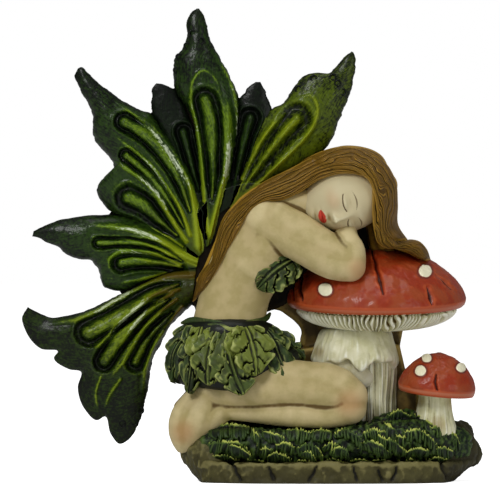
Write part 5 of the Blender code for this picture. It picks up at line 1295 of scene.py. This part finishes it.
# Painted shade: amber brown on the filling under the cap, between cap, stem and thigh, where the relief lies
# in shade.
amber_shade_paint = painted("acrylic on resin, amber painted shade", "2a1e08", "6a5420", "9a8444", 0.2, 2.4, 0.55,
                      mottle=0.7, second="4a3a12", grit_mm=0.6, bump_mm=0.08)
clay = bmesh.new()
add_slab(clay, [(-2.7, 43.7), (-0.5, 45.9), (2.6, 48), (8, 50.2), (16, 51.2), (21.8, 48.3), (22.7, 42.7),
         (23.7, 38.2), (19.5, 35.2), (8, 30.4), (6.1, 28.8), (2.9, 28.5), (2.2, 26.6), (-2.9, 24.3),
         (-8.5, 26.2), (-9.1, 28.8), (-9.4, 31.4), (-8.5, 34.2), (-6.9, 36.6), (-5, 39.7)], 3.8)
LID_RADIUS, LID_DEPTH, LID_START = 10.35, 3.86, 3.2
LID = [(BOARD_X + LID_RADIUS * math.cos(a), BOARD_Z + LID_RADIUS * math.sin(a))
       for a in (math.tau * k / 48 for k in range(48))]
add_slab(clay, LID, LID_DEPTH, LID_START)
shadow_and_wash_paint.node_tree.nodes["Principled BSDF"].inputs["Specular IOR Level"].default_value = 0.1
behind = dress(fused("painted_shadow_behind_figure", clay, 0.3, 4), shadow_and_wash_paint)
mark_hollows(behind, 10)
clay = bmesh.new()
add_slab(clay, [(2.6, 28.2), (3.2, 27.5), (4.2, 27.4), (5, 27.2), (5.9, 26.5), (6.9, 25.8), (7.7, 25),
         (8.2, 24.3), (8.3, 23.5), (8, 22.6), (8.2, 21.8), (12.8, 20.8), (24, 21.1), (24.6, 24.3),
         (27.2, 27.2), (8, 29.8)], 3.4)
add_slab(clay, [(-10.2, 14.4), (-9, 21.1), (-8.6, 25.6), (1.9, 25.6), (8, 21.1), (12.8, 21.9), (24, 21.9),
         (25, 17.6), (27.2, 15.7), (27.2, 11.2), (32.8, 8.6), (33.9, 1.9), (-8.6, 1.9), (-10.2, 5.4),
         (-12.8, 8.3), (-12.2, 12.2)], 5.5)
low = dress(fused("painted_shade_under_cap", clay, 0.3, 4), amber_shade_paint)
mark_hollows(low, 10)

# %% [markdown]
# ## The back
#
# Nobody paints the back. It is the flat face of the pour, the colour of the filled resin, with a round pocket
# where the disc magnet sits in a bead of glue. A copy of the casting is cut to a thin plate for it, a little
# inside the painted outline, and the pocket is a cup of its own.

# %% Bare back
pour_back, tree, shader = bare_resin("polyester resin, filled and cast, bare", 0.62)
place = add_node(tree, "ShaderNodeTexCoord", output="Object")
clouds = add_node(tree, "ShaderNodeTexNoise", {"Vector": place, "Scale": 1 / (9 * MM), "Detail": 5})
pits = add_node(tree, "ShaderNodeTexVoronoi", {"Vector": place, "Scale": 1 / (2.2 * MM)}, feature="F1")
grit = add_node(tree, "ShaderNodeTexNoise", {"Vector": place, "Scale": 1 / (0.5 * MM), "Detail": 3})
colour = coat(tree, paint("c9c3b4"), "b3ac9b", clouds, 0.4, 0.65)
colour = coat(tree, colour, "6d675b", pits, 0.12, 0.05, 0.8)
finish_off(tree, shader, colour, blend_of(tree, pits, 0.5, grit), 0.05, 0.5)

POCKET, POCKET_DEEP, CUP_WALL = 9.3, 3.0, 0.7
INSIDE = 0.35  # the plate's edge stays this far inside the painted outline
casting = bpy.data.objects["fairy_casting"]
form = bmesh.new()
form.from_mesh(casting.data)
bmesh.ops.remove_doubles(form, verts=form.verts[:], dist=0.002 * MM)
bmesh.ops.bisect_plane(form, geom=form.verts[:] + form.edges[:] + form.faces[:], dist=0.0001 * MM,
                       plane_co=to_space(0, 0, PLATE), plane_no=Vector((0, -1, 0)), clear_outer=True)
bmesh.ops.triangle_fill(form, edges=open_edges(form), use_beauty=True, use_dissolve=False)
bmesh.ops.recalc_face_normals(form, faces=form.faces[:])
moves = {}
for vertex in form.verts:
    walls = [f.normal for f in vertex.link_faces if abs(f.normal.y) < 0.7]
    if walls and math.hypot(vertex.co.x, vertex.co.z) > (POCKET + 0.4) * MM:
        pull = sum(walls, Vector())
        pull.y = 0
        moves[vertex] = pull.normalized() * -INSIDE * MM if pull.length > 0.1 else Vector()
for vertex, move in moves.items():
    vertex.co += move
plate = piece_from("bare_back", form, pour_back, smooth=False)
# The plate's front and side faces take the black-brown paint: painted shadow where they show round the
# figure, and the casting's painted edges.
plate.data.materials.append(shadow_and_wash_paint)
for polygon in plate.data.polygons:
    polygon.material_index = 0 if polygon.normal.y > 0.5 else 1
store(plate, "hollow", np.zeros(len(plate.data.vertices)))

TO_BACK = Matrix.Translation((0, -PROUD * MM, 0)) @ Matrix.Rotation(-math.pi / 2, 4, "X")
form = turned([(0, -POCKET_DEEP), (POCKET + 0.05, -POCKET_DEEP), (POCKET + 0.05, -0.1), (POCKET + 0.9, -0.1),
               (POCKET + 0.9, -(POCKET_DEEP + CUP_WALL)), (0, -(POCKET_DEEP + CUP_WALL))], 96)
bmesh.ops.transform(form, matrix=TO_BACK, verts=form.verts[:])
piece_from("magnet_pocket", form, pour_back, smooth=False)

# %% [markdown]
# The magnet itself is a CAD piece that stays. Ferrite is sintered and then ground: nearly black, matt, with
# fine grinding lines. A bead of clear glue was run round it.

# %% Magnet and glue
ferrite, tree, shader = bare_resin("ferrite, sintered and ground", 0.48)
place = add_node(tree, "ShaderNodeTexCoord", output="Object")
drawn = add_node(tree, "ShaderNodeMapping", {"Vector": place, "Scale": (1 / (0.3 * MM), 1, 1 / (6 * MM))})
lines = add_node(tree, "ShaderNodeTexNoise", {"Vector": drawn, "Scale": 1, "Detail": 3})
clouds = add_node(tree, "ShaderNodeTexNoise", {"Vector": place, "Scale": 1 / (4 * MM), "Detail": 4})
colour = coat(tree, paint("2b2b2e"), "47474b", blend_of(tree, lines, 0.5, clouds), 0.35, 0.8)
finish_off(tree, shader, colour, lines, 0.02, 0.5)
magnet = bpy.data.objects["disc_magnet"]
magnet.data.materials.clear()
magnet.data.materials.append(ferrite)

glue, tree, shader = bare_resin("epoxy, run clear and cured", 0.22)
place = add_node(tree, "ShaderNodeTexCoord", output="Object")
clouds = add_node(tree, "ShaderNodeTexNoise", {"Vector": place, "Scale": 1 / (1.5 * MM), "Detail": 3})
finish_off(tree, shader, coat(tree, paint("b7a66c"), "8f7f4a", clouds, 0.35, 0.7), clouds, 0.08)
form = turned([(9.02, -0.5), (9.28, -0.5), (9.28, 0.0), (9.2, 0.1), (9.1, 0.13), (9.02, 0.1),
               (9.02, -0.5)], 120)
for vertex in form.verts:
    vertex.co.z += 0.05 * noise.noise(vertex.co / MM * 0.5) * MM if vertex.co.z > -0.3 * MM else 0
bmesh.ops.transform(form, matrix=TO_BACK, verts=form.verts[:])
piece_from("glue_bead", form, glue)

# %% [markdown]
# ## Floor, light and camera
#
# The picture is a plain product shot on white. The floor is a pale sheet, the light comes from two large soft
# lamps at the front and one above, and a long lens far away keeps the relief nearly free of perspective. Only
# the camera, and rays that pass through something clear, see the sheet and the world as white, so the
# background stays white without more light on the figure.

# %% Floor
form = bmesh.new()
bmesh.ops.create_grid(form, x_segments=8, y_segments=8, size=1.5,
                      matrix=Matrix.Translation((0, 0, -BOARD_Z * MM)))
sheet = bpy.data.meshes.new("floor")
form.to_mesh(sheet)
form.free()
floor = bpy.data.objects.new("floor", sheet)
bpy.context.scene.collection.objects.link(floor)
paper = bpy.data.materials.new("paper, matt white")
paper.use_nodes = True
tree = paper.node_tree
sheet_shader = tree.nodes["Principled BSDF"]
sheet_shader.inputs["Base Color"].default_value = paint("f4f4f4")
sheet_shader.inputs["Roughness"].default_value = 0.9
sheet_shader.inputs["Emission Color"].default_value = (1, 1, 1, 1)
seen = add_node(tree, "ShaderNodeLightPath", output="Is Camera Ray")
through = add_node(tree, "ShaderNodeLightPath", output="Is Transmission Ray")
either = add_node(tree, "ShaderNodeMath", {0: seen, 1: through}, operation="MAXIMUM")
tree.links.new(add_node(tree, "ShaderNodeMapRange", {0: either, 3: 0.0, 4: 0.85}),
               sheet_shader.inputs["Emission Strength"])
floor.data.materials.append(paper)

world = bpy.data.worlds.new("studio")
bpy.context.scene.world = world
world.use_nodes = True
tree = world.node_tree
seen = add_node(tree, "ShaderNodeLightPath", output="Is Camera Ray")
through = add_node(tree, "ShaderNodeLightPath", output="Is Transmission Ray")
either = add_node(tree, "ShaderNodeMath", {0: seen, 1: through}, operation="MAXIMUM")
strength = add_node(tree, "ShaderNodeMapRange", {0: either, 3: 0.20, 4: 1.0})
backdrop = tree.nodes["Background"]
backdrop.inputs["Color"].default_value = (1, 1, 1, 1)
tree.links.new(strength, backdrop.inputs["Strength"])


# %% Lamps
def lamp(name, place, size, power):
    light = bpy.data.lights.new(name, "AREA")
    light.size = size
    light.energy = power
    thing = bpy.data.objects.new(name, light)
    thing.location = place
    thing.rotation_euler = Vector(place).to_track_quat("Z", "Y").to_euler()
    bpy.context.scene.collection.objects.link(thing)


lamp("key_left", (-0.45, -0.80, 0.70), 0.35, 6.0)
lamp("fill_right", (0.75, -0.75, 0.25), 0.5, 1.8)
lamp("top", (0.05, -0.15, 0.9), 0.5, 2.2)

# %% Camera
FRAME_WIDTH = 80 * MM
DISTANCE = 1.6
SENSOR = 36
camera_data = bpy.data.cameras.new("camera")
camera_data.sensor_width = SENSOR
camera_data.lens = SENSOR * DISTANCE / FRAME_WIDTH
camera = bpy.data.objects.new("camera", camera_data)
aim = to_space(0, 37.12, 9)
lift = math.radians(1.0)
camera.location = aim + Vector((0, -math.cos(lift), math.sin(lift))) * DISTANCE
camera.rotation_euler = (math.pi / 2 - lift, 0, 0)
camera_data.clip_end = 20
bpy.context.scene.collection.objects.link(camera)
bpy.context.scene.camera = camera
bpy.context.scene.view_settings.view_transform = "Standard"
